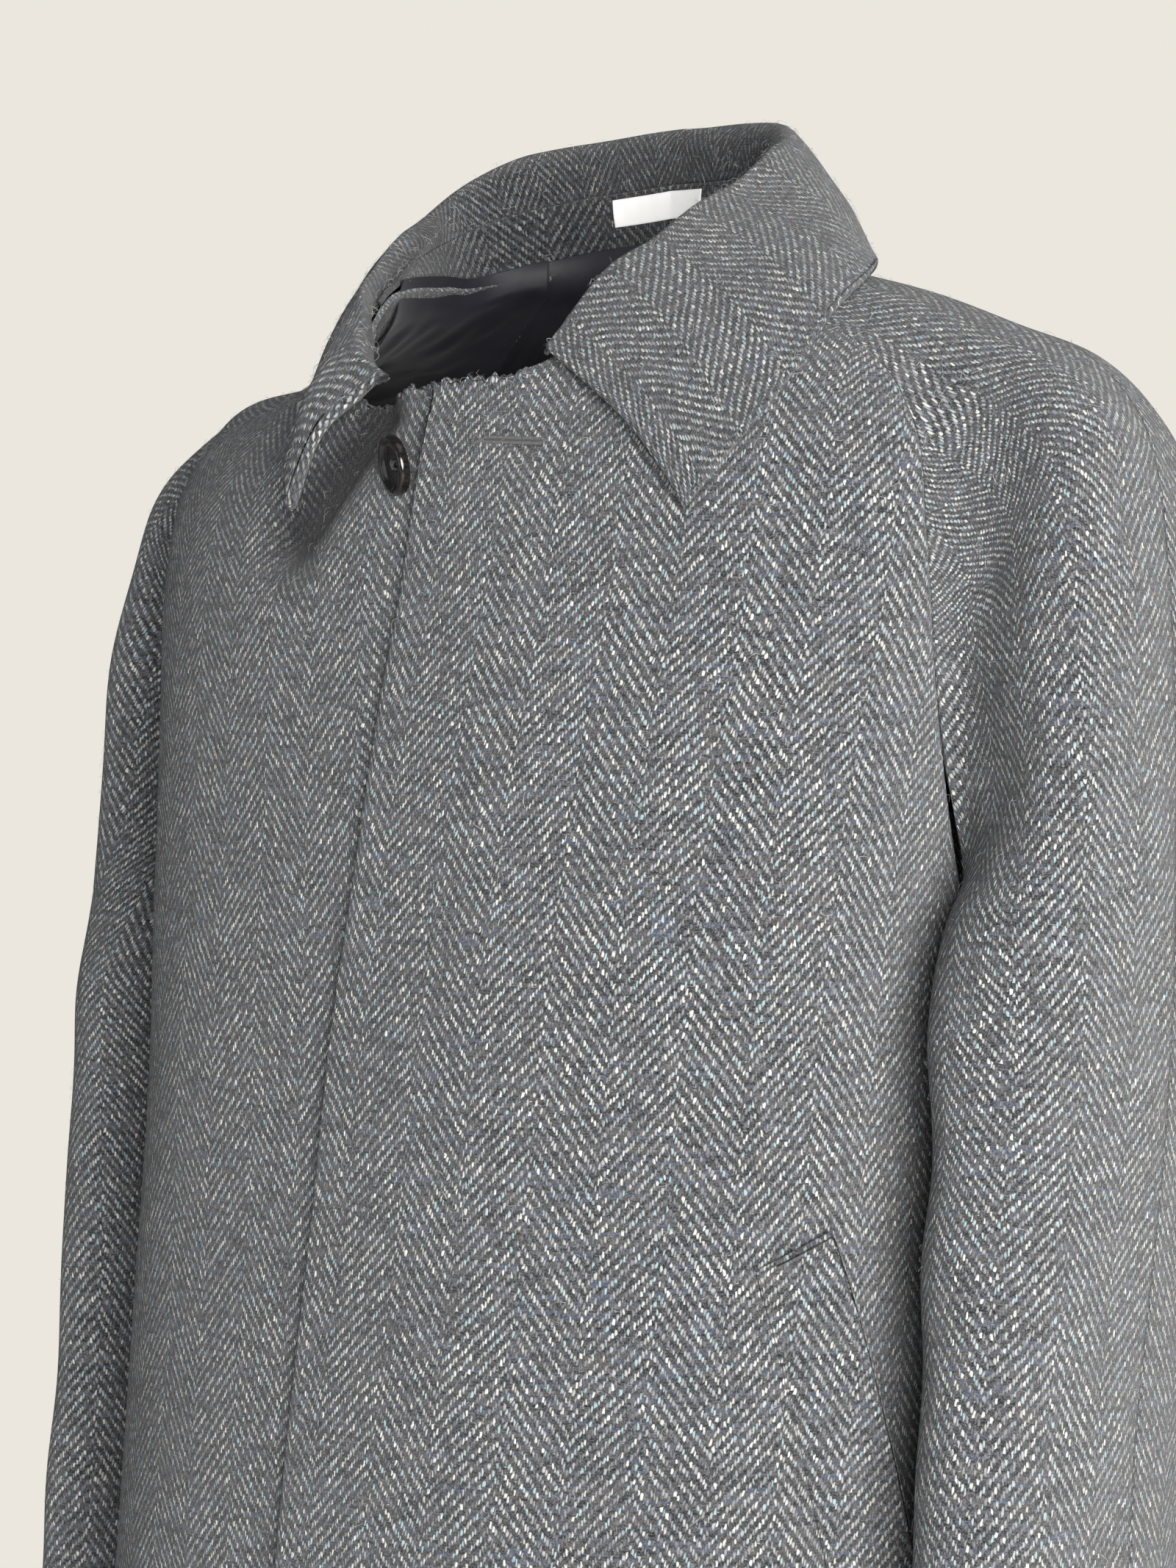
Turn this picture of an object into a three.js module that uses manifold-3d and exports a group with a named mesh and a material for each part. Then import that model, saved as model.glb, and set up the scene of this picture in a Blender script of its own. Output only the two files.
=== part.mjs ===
import * as THREE from 'three';
import Module from 'manifold-3d';

// A worn balmacaan overcoat, empty. Millimetres. +X is the wearer's left, -Y the front, +Z up.
// The origin is between the shoulders, level with the side neck points.

const CLOTH = 2.4;          // wall of the coat cloth
const LINING = 1.0;         // wall of the lining
const SEAM_HALF = 0.2;      // each piece stops this far from its seam line
const ARMPIT_Z = -255;      // where the raglan seams meet the side seam
const ARMPIT_DEG = 88;      // the side seam, in degrees from the front
const HEM_Z = -1050;        // lower edge of the coat
const OVERLAP_LIFT = 4.2;   // how far the left front lies above the right one
const BUTTON_R = 11.6;      // top button
const BUTTON_HIGH = 4.6;

// Level rings of the body: z, half width, front depth, back depth, squareness
const BODY = [
  [-1050, 262, 222, 182, 2.3],
  [-900, 239, 210, 169, 2.35],
  [-745, 210, 196, 154, 2.4],
  [-574, 189, 178, 139, 2.5],
  [-450, 182, 168, 131, 2.55],
  [-350, 180, 156, 126, 2.6],
  [-250, 183, 144, 123, 2.65],
  [-180, 190, 134, 120, 2.6],
  [-120, 198, 122, 114, 2.5],
  [-80, 200, 110, 104, 2.3],
  [-52, 184, 98, 91, 2.1],
  [-28, 140, 87, 76, 2.0],
  [-12, 103, 80, 66, 2.0],
  [0, 76, 74, 57, 2.0],
  [12, 70, 70, 50, 2.0],
  [30, 68, 68, 48, 2.0],
];

// Neck seam: degrees from the front, z
const NECK = [
  [-16, -53], [0, -53], [12, -52], [20, -44], [27, -30], [38, -17], [52, -7],
  [68, -2], [90, 0], [130, 6.5], [150, 10], [180, 12],
];

// Raglan seams, from the neck (0) to the armpit (1): share, degrees from the front, z
const RAGLAN_FRONT = [[0, 52, -7], [0.2, 61, -50], [0.5, 70.5, -113], [0.75, 79.5, -185], [1, ARMPIT_DEG, ARMPIT_Z]];
const RAGLAN_BACK = [[0, 130, 6.5], [0.25, 126, -50], [0.5, 118, -113], [0.75, 107, -185], [1, ARMPIT_DEG, ARMPIT_Z]];

// Front edges, seen from the front: z, x of the edge
const LEFT_EDGE = [[-1050, -34], [-487, -8.6], [-380, -4], [-306, -2], [-246, 2.7], [-178, 7.5], [-137, 10.5], [-88, 8], [-50, 4]];
const RIGHT_EDGE = [[-1050, 62], [-400, 55], [-246, 46], [-137, 34], [-50, 22]];

// Sleeve stations: 0 is the neck, 1 the armpit, 2 the cuff
// Overarm line: station, x, y, z
const OVERARM = [
  [0, 74, -2, 0], [0.1, 108, 0, -10.5], [0.22, 158, 1, -26], [0.34, 196, 2, -42], [0.44, 221, 3, -53],
  [0.54, 239, 3, -69], [0.64, 251, 3, -91], [0.75, 257, 3, -132], [0.87, 260, 3, -190], [1, 260, 3, ARMPIT_Z],
  [1.2, 259, -2, -330], [1.45, 256, -20, -450], [1.7, 259, -32, -574], [2, 280, -38, -745],
];
// The right sleeve lies closer to the body: station, overarm line in by, underarm line in by
const RIGHT_IN = [
  [0, 0, 0], [0.1, 4, 0], [0.22, 8, 0], [0.34, 18, 0], [0.44, 19, 0], [0.54, 17, 0], [0.64, 18, 0], [0.75, 12, 0], [0.87, 7, 0],
  [1, 3, 0], [1.2, 4, 2], [1.45, 15, 5], [1.7, 13, 6], [2, 8, 8],
];
// Underarm line: station, x, y, z
const UNDERARM = [[1, 183.6, -11.5, ARMPIT_Z], [1.2, 189, -9, -330], [1.45, 193, -20, -450], [1.7, 200, -32, -574], [2, 222, -38, -745]];
// Fullness of each half: station, reach at the overarm line, reach along the body at the seam, reach outward there
const FULL = [
  [0, 14, 10, 0], [0.2, 34, 20, 0], [0.4, 50, 30, 0], [0.5, 64, 34, 0], [0.65, 92, 36, 0], [0.8, 110, 26, 4], [0.9, 110, 6, 14],
  [0.96, 107, -22, 10], [1, 104, -50, 2], [1.1, 99, -90, 0], [1.2, 98, -98, 0], [1.45, 100, -100, 0], [1.7, 96, -96, 0], [2, 84, -84, 0],
];

// Collar sections from front to back: degrees of the neck seam, roll x, y, z, edge x, y, z
const COLLAR_LEFT = [
  [16, 52, -98, -43, 128, -110, -112],
  [27, 69, -81, -19, 141, -96, -88],
  [38, 79, -64, -6, 149, -78, -66],
  [52, 85, -44, 9, 152, -53, -39],
  [68, 88, -25, 20, 149, -25, -22],
  [90, 89, -2, 36, 134, 4, -12],
  [112, 83, 15, 44, 113, 33, -10],
  [140, 58, 42, 57, 79, 65, -9],
  [180, 0, 58, 65, 0, 82, -10],
];
const COLLAR_RIGHT = [
  [8, 28, -98, -47, 52, -124, -104],
  [16, 44, -96, -41, 58, -120, -95],
  [27, 60, -83, -24, 66, -111, -77],
  [38, 76.5, -65.5, -6, 81, -98, -58],
  [52, 83, -45.5, 8.5, 93, -77, -40],
  [68, 86, -25, 24, 99, -49, -20],
  [90, 89, -2, 40, 116, 2, 0],
  [112, 84, 16, 51, 111, 32, -4],
  [140, 58, 42, 61, 80, 66, -8],
  [180, 0, 58, 65, 0, 82, -10],
];

// Pocket welts: share of length from the top, sewn edge degrees, z, free edge degrees, z
const WELT = [[0, 55, -379, 66, -366], [0.17, 59, -410, 70, -396], [0.57, 66, -484, 77, -472], [1, 71.5, -562, 82, -548]];
const WELT_STAND = 5;       // how far the welt's free edge stands away

const BUTTON_AT = [-0.22, -92];      // degrees and z on the right front
const HOLE_AT = [[7.4, -82.8], [15, -85.3]];    // ends of the top buttonhole on the left front
const LABEL_U = [0.424, 0.531];     // along the collar, as a share of its length
const LABEL_W = [0.085, 0.185];     // up the collar section

const rad = Math.PI / 180;
const mix = (a, b, t) => a + (b - a) * t;
const clamp01 = (t) => Math.min(1, Math.max(0, t));
const ease = (t) => { const c = clamp01(t); return c * c * (3 - 2 * c); };
const add = (a, b, k = 1) => [a[0] + b[0] * k, a[1] + b[1] * k, a[2] + b[2] * k];
const sub = (a, b) => [a[0] - b[0], a[1] - b[1], a[2] - b[2]];
const cross = (a, b) => [a[1] * b[2] - a[2] * b[1], a[2] * b[0] - a[0] * b[2], a[0] * b[1] - a[1] * b[0]];
const unit = (a) => { const l = Math.hypot(...a) || 1; return a.map((v) => v / l); };

// Smooth values between the rows of a table, by its first column
function spline(table, at) {
  const last = table.length - 1;
  const up = table[last][0] > table[0][0];
  let i = 0;
  while (i < last - 1 && (up ? at >= table[i + 1][0] : at <= table[i + 1][0])) i += 1;
  const slope = (k) => table[k].slice(1).map((v, c) => (table[k + 1][c + 1] - v) / (table[k + 1][0] - table[k][0]));
  const tangent = (k) => (k === 0 ? slope(0) : k === last ? slope(last - 1)
    : slope(k - 1).map((v, c) => (v + slope(k)[c]) / 2));
  const h = table[i + 1][0] - table[i][0];
  const s = clamp01((at - table[i][0]) / h);
  const m0 = tangent(i);
  const m1 = tangent(i + 1);
  return table[i].slice(1).map((v, c) => (1 + 2 * s) * (1 - s) ** 2 * v + s * (1 - s) ** 2 * h * m0[c]
    + s * s * (3 - 2 * s) * table[i + 1][c + 1] + s * s * (s - 1) * h * m1[c]);
}

// The body's outer face: a squared ring at each height, pushed out by `out`
function onBody(deg, z, out = 0) {
  const [wide, front, back, square] = spline(BODY, z);
  const s = Math.sin(deg * rad);
  const c = Math.cos(deg * rad);
  const deep = c >= 0 ? front : back;
  return [(wide + out) * Math.sign(s) * Math.abs(s) ** (2 / square), -(deep + out) * Math.sign(c) * Math.abs(c) ** (2 / square), z];
}
// Degrees from the front of the ring's point with this x
function degAtX(x, z) {
  const [wide, , , square] = spline(BODY, z);
  return Math.sign(x) * Math.asin((Math.abs(x) / wide) ** (square / 2)) / rad;
}
const NECK_FRONT_Z = -53;   // the neck seam at the front edges
const neckZ = (deg) => spline(NECK, deg < -16 ? -deg : deg)[0];

// A closed wall of cloth: at(u, v) gives the outer face, and the wall goes in along its normal
function sheet(name, at, us, vs, wall, trim = {}) {
  const { u0 = 0, u1 = 0, v0 = 0, v1 = 0, turn = 1 } = trim;
  const step = 1e-3;
  const outer = [];
  const inner = [];
  const du = (u, v) => { const a = Math.max(0, u - step); const b = Math.min(1, u + step); return sub(at(b, v), at(a, v)); };
  const dv = (u, v) => { const a = Math.max(0, v - step); const b = Math.min(1, v + step); return sub(at(u, b), at(u, a)); };
  const grid = vs.map((v) => us.map((u) => at(u, v)));
  const nu = us.length;
  const nv = vs.length;
  for (let j = 0; j < nv; j += 1) {
    for (let i = 0; i < nu; i += 1) {
      let p = grid[j][i];
      const n = unit(cross(du(us[i], vs[j]), dv(us[i], vs[j]))).map((k) => k * turn);
      if (i === 0) p = add(p, unit(sub(grid[j][1], p)), u0);
      if (i === nu - 1) p = add(p, unit(sub(grid[j][nu - 2], p)), u1);
      if (j === 0) p = add(p, unit(sub(grid[1][i], p)), v0);
      if (j === nv - 1) p = add(p, unit(sub(grid[nv - 2][i], p)), v1);
      outer.push(p);
      inner.push(add(p, n, -(typeof wall === 'function' ? wall(us[i], vs[j]) : wall)));
    }
  }
  const count = nu * nv;
  const index = [];
  const id = (i, j) => j * nu + i;
  const quad = (a, b, c, d) => (turn > 0 ? index.push(a, b, c, a, c, d) : index.push(a, c, b, a, d, c));
  for (let j = 0; j < nv - 1; j += 1) {
    for (let i = 0; i < nu - 1; i += 1) {
      quad(id(i, j), id(i + 1, j), id(i + 1, j + 1), id(i, j + 1));
      quad(count + id(i, j), count + id(i, j + 1), count + id(i + 1, j + 1), count + id(i + 1, j));
    }
  }
  for (let i = 0; i < nu - 1; i += 1) {
    quad(id(i, 0), count + id(i, 0), count + id(i + 1, 0), id(i + 1, 0));
    quad(id(i + 1, nv - 1), count + id(i + 1, nv - 1), count + id(i, nv - 1), id(i, nv - 1));
  }
  for (let j = 0; j < nv - 1; j += 1) {
    quad(id(0, j + 1), count + id(0, j + 1), count + id(0, j), id(0, j));
    quad(id(nu - 1, j), count + id(nu - 1, j), count + id(nu - 1, j + 1), id(nu - 1, j + 1));
  }
  const geometry = new THREE.BufferGeometry();
  geometry.setAttribute('position', new THREE.Float32BufferAttribute([...outer, ...inner].flat(), 3));
  geometry.setIndex(index);
  geometry.computeVertexNormals();
  const mesh = new THREE.Mesh(geometry);
  mesh.name = name;
  return mesh;
}
const even = (n) => Array.from({ length: n + 1 }, (_, k) => k / n);

// Rows shared by the body panels and the sleeves: 0 to 1 is the raglan, 1 to 2 the side seam
const RAGLAN_ROWS = [0, 0.1, 0.2, 0.32, 0.44, 0.55, 0.66, 0.77, 0.87, 0.94, 1];
const SKIRT_ROWS = [1.12, 1.26, 1.42, 1.6, 1.8, 2];
const PANEL_VS = [...RAGLAN_ROWS, ...SKIRT_ROWS].map((r) => r / 2);
const skirtZ = (r) => mix(ARMPIT_Z, HEM_Z, r - 1);

// The lift of the left front over the right one, by degrees from the front
const overlapLift = (deg, z) => {
  const start = degAtX(spline(RIGHT_EDGE, z)[0], z);
  return OVERLAP_LIFT * (1 - ease((deg - start - 2) / 16));
};

// The right shoulder drops beside the neck, most between these distances from the middle
const RIGHT_DROP = 13;
const DROP_FROM = [65, 110];
const DROP_TO = [140, 190];
function sag(p) {
  const far = -p[0];
  const share = ease((far - DROP_FROM[0]) / (DROP_FROM[1] - DROP_FROM[0])) * (1 - ease((far - DROP_TO[0]) / (DROP_TO[1] - DROP_TO[0])));
  return [p[0], p[1], p[2] - RIGHT_DROP * share * ease((p[2] + 150) / 100)];
}

// A front: u from its edge to the raglan and side seams, v from the neck seam down
function frontPoint(side, edge, lift, u, v) {
  const r = v * 2;
  const [endDeg, endZ] = r <= 1 ? spline(RAGLAN_FRONT, r) : [ARMPIT_DEG, skirtZ(r)];
  const edgeZ = r <= 1 ? mix(NECK_FRONT_Z, ARMPIT_Z, r) : endZ;
  const edgeDeg = degAtX(spline(edge, edgeZ)[0], edgeZ) * side;
  const deg = mix(edgeDeg, endDeg, u);
  const neckDeg = mix(degAtX(spline(edge, NECK_FRONT_Z)[0], NECK_FRONT_Z) * side, RAGLAN_FRONT[0][1], u);
  const neckBend = neckZ(neckDeg) - mix(NECK_FRONT_Z, RAGLAN_FRONT[0][2], u);
  const z = mix(edgeZ, endZ, u) + neckBend * (1 - clamp01(r)) ** 3;
  const p = onBody(deg, z, lift ? lift(deg, z) : 0);
  return sag([p[0] * side, p[1], p[2]]);
}
// The back: u from the left seams across to the right ones
function backPoint(u, v) {
  const r = v * 2;
  const [endDeg, endZ] = r <= 1 ? spline(RAGLAN_BACK, r) : [ARMPIT_DEG, skirtZ(r)];
  const deg = mix(endDeg, 360 - endDeg, u);
  const neckDeg = mix(RAGLAN_BACK[0][1], 360 - RAGLAN_BACK[0][1], u);
  const neckBend = neckZ(neckDeg > 180 ? 360 - neckDeg : neckDeg) - RAGLAN_BACK[0][2];
  return sag(onBody(deg, r <= 1 ? endZ + neckBend * (1 - r) ** 3 : endZ));
}

// A sleeve half: u from the overarm line to the seam, v from the neck to the cuff
function sleevePoint(side, half, u, v) {
  const r = v * 2;
  const top = spline(OVERARM, r);
  const [reachTop, reachSeam, reachOut] = spline(FULL, r);
  const [topIn, seamIn] = side < 0 ? spline(RIGHT_IN, r) : [0, 0];
  top[0] -= topIn;
  let seam;
  let pull;
  if (r <= 1) {
    const table = half < 0 ? RAGLAN_FRONT : RAGLAN_BACK;
    const place = (s) => { const [deg, z] = spline(table, s); return onBody(deg, z, 1.7 * ease((s - 0.6) / 0.32)); };
    seam = place(r);
    const along = unit(sub(place(Math.min(1, r + 0.01)), place(Math.max(0, r - 0.01))));
    const [deg, z] = spline(table, r);
    const around = unit(sub(onBody(deg + 1, z), onBody(deg - 1, z)));
    const down = unit(sub(onBody(deg, z - 2), onBody(deg, z + 2)));
    const normal = unit(cross(down, around));
    pull = unit(cross(normal, along)).map((k) => -k * half);
    if (reachSeam < 0) pull = [0, -half, 0];
  } else {
    seam = add(spline(UNDERARM, r), [-1, 0, 0], seamIn);
    pull = [0, -half, 0];
  }
  const a = add(top, [0, half, 0], reachTop);
  const b = add(add(seam, pull, reachSeam), [1, 0, 0], reachOut);
  const w = 1 - u;
  const p = [0, 1, 2].map((k) => w ** 3 * top[k] + 3 * w * w * u * a[k] + 3 * w * u * u * b[k] + u ** 3 * seam[k]);
  return sag([p[0] * side, p[1], p[2]]);
}

// Collar section: up the stand, over the roll and down the fall
const ROLL = 5.5;           // radius of the collar's fold
function collarPoint(u, w) {
  const right = u < 0.5;
  const table = right ? COLLAR_RIGHT : COLLAR_LEFT;
  const start = table[0][0];
  const deg = right ? mix(start, 180, u * 2) : mix(180, start, u * 2 - 1);
  const row = spline(table, deg);
  const neck = onBody(deg, neckZ(deg));
  const base = [neck[0], neck[1], neck[2] + 3];
  const roll = row.slice(0, 3);
  const edge = row.slice(3);
  const side = right ? -1 : 1;
  const across = unit([edge[0] - roll[0], edge[1] - roll[1], 0]);
  const tall = Math.hypot(...sub(roll, base));
  const r = Math.min(ROLL, tall * 0.45);
  const inside = add(roll, across, -r);
  const outside = add(roll, across, r);
  inside[2] -= r * 0.7;
  outside[2] -= r * 0.7;
  const bow = add([0, 0, 0], [across[0], across[1], 1.2], right ? 4 : 2.5);
  const path = [
    [0, ...base],
    [0.22, ...add(base.map((k, c) => mix(k, inside[c], 0.55)), across, -1.5)],
    [0.4, ...inside],
    [0.45, ...roll],
    [0.5, ...outside],
    [0.75, ...add(outside.map((k, c) => mix(k, edge[c], 0.5)), bow)],
    [1, ...edge],
  ];
  const p = w < 0.46 ? spline(path, w) : clearOfBody(spline(path, w), right ? 2 * ease((deg - 34) / 14) : OVERLAP_LIFT * (1 - ease((deg - 16) / 20)));
  return sag([p[0] * side, p[1], p[2]]);
}
const STAND_TOP = 0.22;
const STAND_FROM = 4 / 44;    // the stand starts this far along the collar, behind the fronts
const fallFoot = (u) => STAND_TOP * ease((Math.min(u, 1 - u) - STAND_FROM + 0.03) / 0.03);

// Keeps the underside of the collar clear of what it lies on
const COLLAR_CLEAR = CLOTH + 1.4;
function clearOfBody(p, lifted) {
  if (p[2] > -3) return p;
  const shareAt = (z, lift) => {
    const [wide, front, back, square] = spline(BODY, z);
    return ((Math.abs(p[0]) / (wide + lift)) ** square + (Math.abs(p[1]) / ((p[1] < 0 ? front : back) + lift)) ** square) ** (1 / square);
  };
  const far = Math.hypot(p[0], p[1]);
  const slope = (far / shareAt(p[2] - 2, 0) - far / shareAt(p[2] + 2, 0)) / 4;
  const share = shareAt(p[2], (COLLAR_CLEAR + lifted) * Math.hypot(1, slope));
  return share >= 1 ? p : [p[0] / share, p[1] / share, p[2]];
}

// A point moved off a surface along its normal
function offset(at, u, v, turn, far) {
  const step = 1e-3;
  const c = (k) => clamp01(k);
  const n = unit(cross(sub(at(c(u + step), v), at(c(u - step), v)), sub(at(u, c(v + step)), at(u, c(v - step)))));
  return add(at(u, v), n, far * turn);
}

const pieces = [];
const slot = (mesh, material) => { mesh.userData.slot = material; pieces.push(mesh); };

const leftFront = (u, v) => frontPoint(1, LEFT_EDGE, overlapLift, u, v);
const rightFront = (u, v) => frontPoint(-1, RIGHT_EDGE, null, u, v);
const bySeams = { u1: SEAM_HALF, v0: SEAM_HALF };
const frontUs = [0, 0.05, 0.12, 0.2, 0.28, 0.37, 0.46, 0.55, 0.64, 0.73, 0.82, 0.91, 1];
const leftSheet = sheet('front_left', leftFront, frontUs, PANEL_VS, CLOTH, { ...bySeams, turn: -1 });
slot(sheet('front_right', rightFront, frontUs, PANEL_VS, CLOTH, bySeams), 'tweed');
slot(sheet('back', backPoint, even(20), PANEL_VS, CLOTH, { u0: SEAM_HALF, u1: SEAM_HALF, v0: SEAM_HALF, turn: -1 }), 'tweed');
const SLEEVE_VS = [...RAGLAN_ROWS, 1.1, 1.2, 1.35, 1.5, 1.65, 1.82, 2].map((r) => r / 2);
for (const [sideName, side] of [['left', 1], ['right', -1]]) {
  for (const [halfName, half] of [['front', -1], ['back', 1]]) {
    slot(sheet(`sleeve_${sideName}_${halfName}`, (u, v) => sleevePoint(side, half, u, v), even(11), SLEEVE_VS, CLOTH,
      { u0: SEAM_HALF, u1: SEAM_HALF, v0: SEAM_HALF, turn: -side * half }), 'tweed');
  }
}
const roundCollar = even(44);
slot(sheet('collar_stand', (u, v) => collarPoint(mix(STAND_FROM, 1 - STAND_FROM, u), v * STAND_TOP), even(36), even(3), CLOTH,
  { v0: SEAM_HALF, v1: SEAM_HALF }), 'tweed');
slot(sheet('collar_fall', (u, v) => collarPoint(u, mix(fallFoot(u), 1, v)), roundCollar,
  [0, 0.12, 0.23, 0.295, 0.36, 0.5, 0.68, 0.84, 1], CLOTH, { v0: SEAM_HALF }), 'tweed');

// Linings lie inside the cloth and face the hollow
const LINING_IN = CLOTH + 2.4 + LINING;
const inset = (t, by) => mix(by, 1 - by, t);
slot(sheet('lining_back', (u, v) => offset(backPoint, inset(u, 0.008), mix(0.012, 0.44, v), 1, LINING_IN),
  even(14), even(6), LINING), 'lining');
for (const [sideName, side] of [['left', 1], ['right', -1]]) {
  slot(sheet(`lining_sleeve_${sideName}`, (u, v) => {
    const half = u < 0.5 ? -1 : 1;
    const across = Math.min(0.97, Math.max(0.002, Math.abs(1 - 2 * u)));
    return offset((a, b) => sleevePoint(side, half, a, b), across, mix(0.012, 0.24, v), -side * half, -LINING_IN);
  }, even(16), even(7), LINING, { turn: side }), 'lining');
}

slot(sheet('label', (u, v) => offset((a, b) => collarPoint(a, b), mix(...LABEL_U, u), mix(...LABEL_W, v), 1, 1.1),
  even(5), even(2), 0.7), 'label');

for (const [sideName, side] of [['left', 1], ['right', -1]]) {
  slot(sheet(`pocket_welt_${sideName}`, (u, v) => {
    const [sewnDeg, sewnZ, freeDeg, freeZ] = spline(WELT, v);
    const stand = CLOTH + 0.9 + u * u * WELT_STAND * (0.35 + 0.65 * Math.sin(Math.PI * v));
    const p = onBody(mix(sewnDeg, freeDeg, u), mix(sewnZ, freeZ, u), stand);
    return [p[0] * side, p[1], p[2]];
  }, even(4), even(8), CLOTH, { turn: -side }), 'tweed');
}

// Round pieces stand on a point of the cloth, with their axis along its normal
const wasm = await Module();
wasm.setup();
const { Manifold } = wasm;
function place(solid, at, normal, across) {
  const z = normal;
  const y = unit(cross(z, across));
  const x = cross(y, z);
  return solid.transform([...x, 0, ...y, 0, ...z, 0, ...at, 1]);
}
function meshOf(solid, name) {
  const m = solid.getMesh();
  const geometry = new THREE.BufferGeometry();
  const xyz = [];
  for (let i = 0; i < m.vertProperties.length; i += m.numProp) xyz.push(m.vertProperties[i], m.vertProperties[i + 1], m.vertProperties[i + 2]);
  geometry.setAttribute('position', new THREE.Float32BufferAttribute(xyz, 3));
  geometry.setIndex(Array.from(m.triVerts));
  geometry.computeVertexNormals();
  const mesh = new THREE.Mesh(geometry);
  mesh.name = name;
  return mesh;
}
function solidOf(mesh) {
  return new Manifold({ numProp: 3, vertProperties: new Float32Array(mesh.geometry.attributes.position.array), triVerts: new Uint32Array(mesh.geometry.index.array) });
}
function frameOn(side, deg, z, out) {
  const mirror = (p) => [p[0] * side, p[1], p[2]];
  const at = mirror(onBody(deg, z, out));
  const across = unit(sub(mirror(onBody(deg + 1, z, out)), mirror(onBody(deg - 1, z, out))));
  const up = unit(sub(onBody(deg, z + 2, out), onBody(deg, z - 2, out)));
  const normal = unit(cross(across, [up[0] * side, up[1], up[2]])).map((k) => k * side);
  return { at, across, normal };
}

// Top button: a dished face with a thick rim and four holes, hanging askew on a thread shank
const SHANK = 6;
const BUTTON_FACES = unit([-0.45, -0.86, -0.2]);
const buttonSpot = frameOn(-1, ...BUTTON_AT, 0);
const buttonProfile = [
  [0, 0], [BUTTON_R - 3.2, 0], [BUTTON_R - 0.9, 1.2], [BUTTON_R, 2.4], [BUTTON_R - 0.2, BUTTON_HIGH - 0.6],
  [BUTTON_R - 1.1, BUTTON_HIGH], [BUTTON_R - 2.3, BUTTON_HIGH - 0.5], [BUTTON_R - 3.6, BUTTON_HIGH - 1.6], [0, BUTTON_HIGH - 2.1],
];
const BUTTON_SIDES = 36;
const HOLE_OUT = 1.7;       // each thread hole, from the middle along both axes
const HOLE_R = 0.9;
let button = Manifold.revolve([buttonProfile], BUTTON_SIDES);
for (const [x, y] of [[1, 1], [-1, 1], [-1, -1], [1, -1]]) {
  button = button.subtract(Manifold.cylinder(10, HOLE_R, HOLE_R, 10).translate([x * HOLE_OUT, y * HOLE_OUT, -2]));
}
slot(meshOf(place(button, add(buttonSpot.at, buttonSpot.normal, SHANK), BUTTON_FACES, [1, 0, 0]), 'button'), 'horn');
const shank = Manifold.cylinder(SHANK - 2, 2, 1.6, 14);
slot(meshOf(place(shank, add(buttonSpot.at, buttonSpot.normal, 0.3), buttonSpot.normal, [1, 0, 0]), 'button_shank'), 'thread');

// Top buttonhole: a keyhole slit through the left front
const holeEnds = HOLE_AT.map(([deg, z]) => frameOn(1, deg, z, OVERLAP_LIFT));
const holeLine = unit(sub(holeEnds[1].at, holeEnds[0].at));
const holeLong = Math.hypot(...sub(holeEnds[1].at, holeEnds[0].at));
const slit = Manifold.cube([holeLong, 0.9, 24]).translate([0, -0.45, -12]).add(Manifold.cylinder(24, 1.7, 1.7, 12, true));
const leftWithHole = solidOf(leftSheet).subtract(place(slit, holeEnds[0].at, holeEnds[0].normal, holeLine));
slot(meshOf(leftWithHole, 'front_left'), 'tweed');

const group = new THREE.Group();
pieces.forEach((m) => group.add(m));
export default group;
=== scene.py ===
import math

import bmesh
import bpy
import numpy as np
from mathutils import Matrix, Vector


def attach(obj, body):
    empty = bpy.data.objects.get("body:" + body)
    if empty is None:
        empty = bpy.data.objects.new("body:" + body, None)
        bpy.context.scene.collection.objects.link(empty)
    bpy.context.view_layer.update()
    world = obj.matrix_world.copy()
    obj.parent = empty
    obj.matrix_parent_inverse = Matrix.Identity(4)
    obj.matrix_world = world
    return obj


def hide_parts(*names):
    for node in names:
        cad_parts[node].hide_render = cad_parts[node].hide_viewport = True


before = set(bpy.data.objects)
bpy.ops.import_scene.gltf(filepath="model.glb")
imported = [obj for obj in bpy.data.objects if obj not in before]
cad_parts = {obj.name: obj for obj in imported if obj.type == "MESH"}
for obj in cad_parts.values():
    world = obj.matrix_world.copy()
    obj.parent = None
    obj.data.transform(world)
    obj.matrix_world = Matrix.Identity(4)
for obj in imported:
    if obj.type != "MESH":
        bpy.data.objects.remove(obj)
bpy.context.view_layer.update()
print("frame loaded")

# Work is in millimetres, as a pattern cutter's; meshes are written in metres
mm = 0.001

view = {
    "eye": (786.7, -971.4, -210.0),   # camera, level with the chest
    "azimuth": 39.0 + 0.18,
    "focal": 4200.0,                  # pixels, in an image 1600 x 2134
    "imageLong": 2134.0,
    "backdrop": (0.831, 0.799, 0.730),
    "floorZ": -1.46,
}

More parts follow.
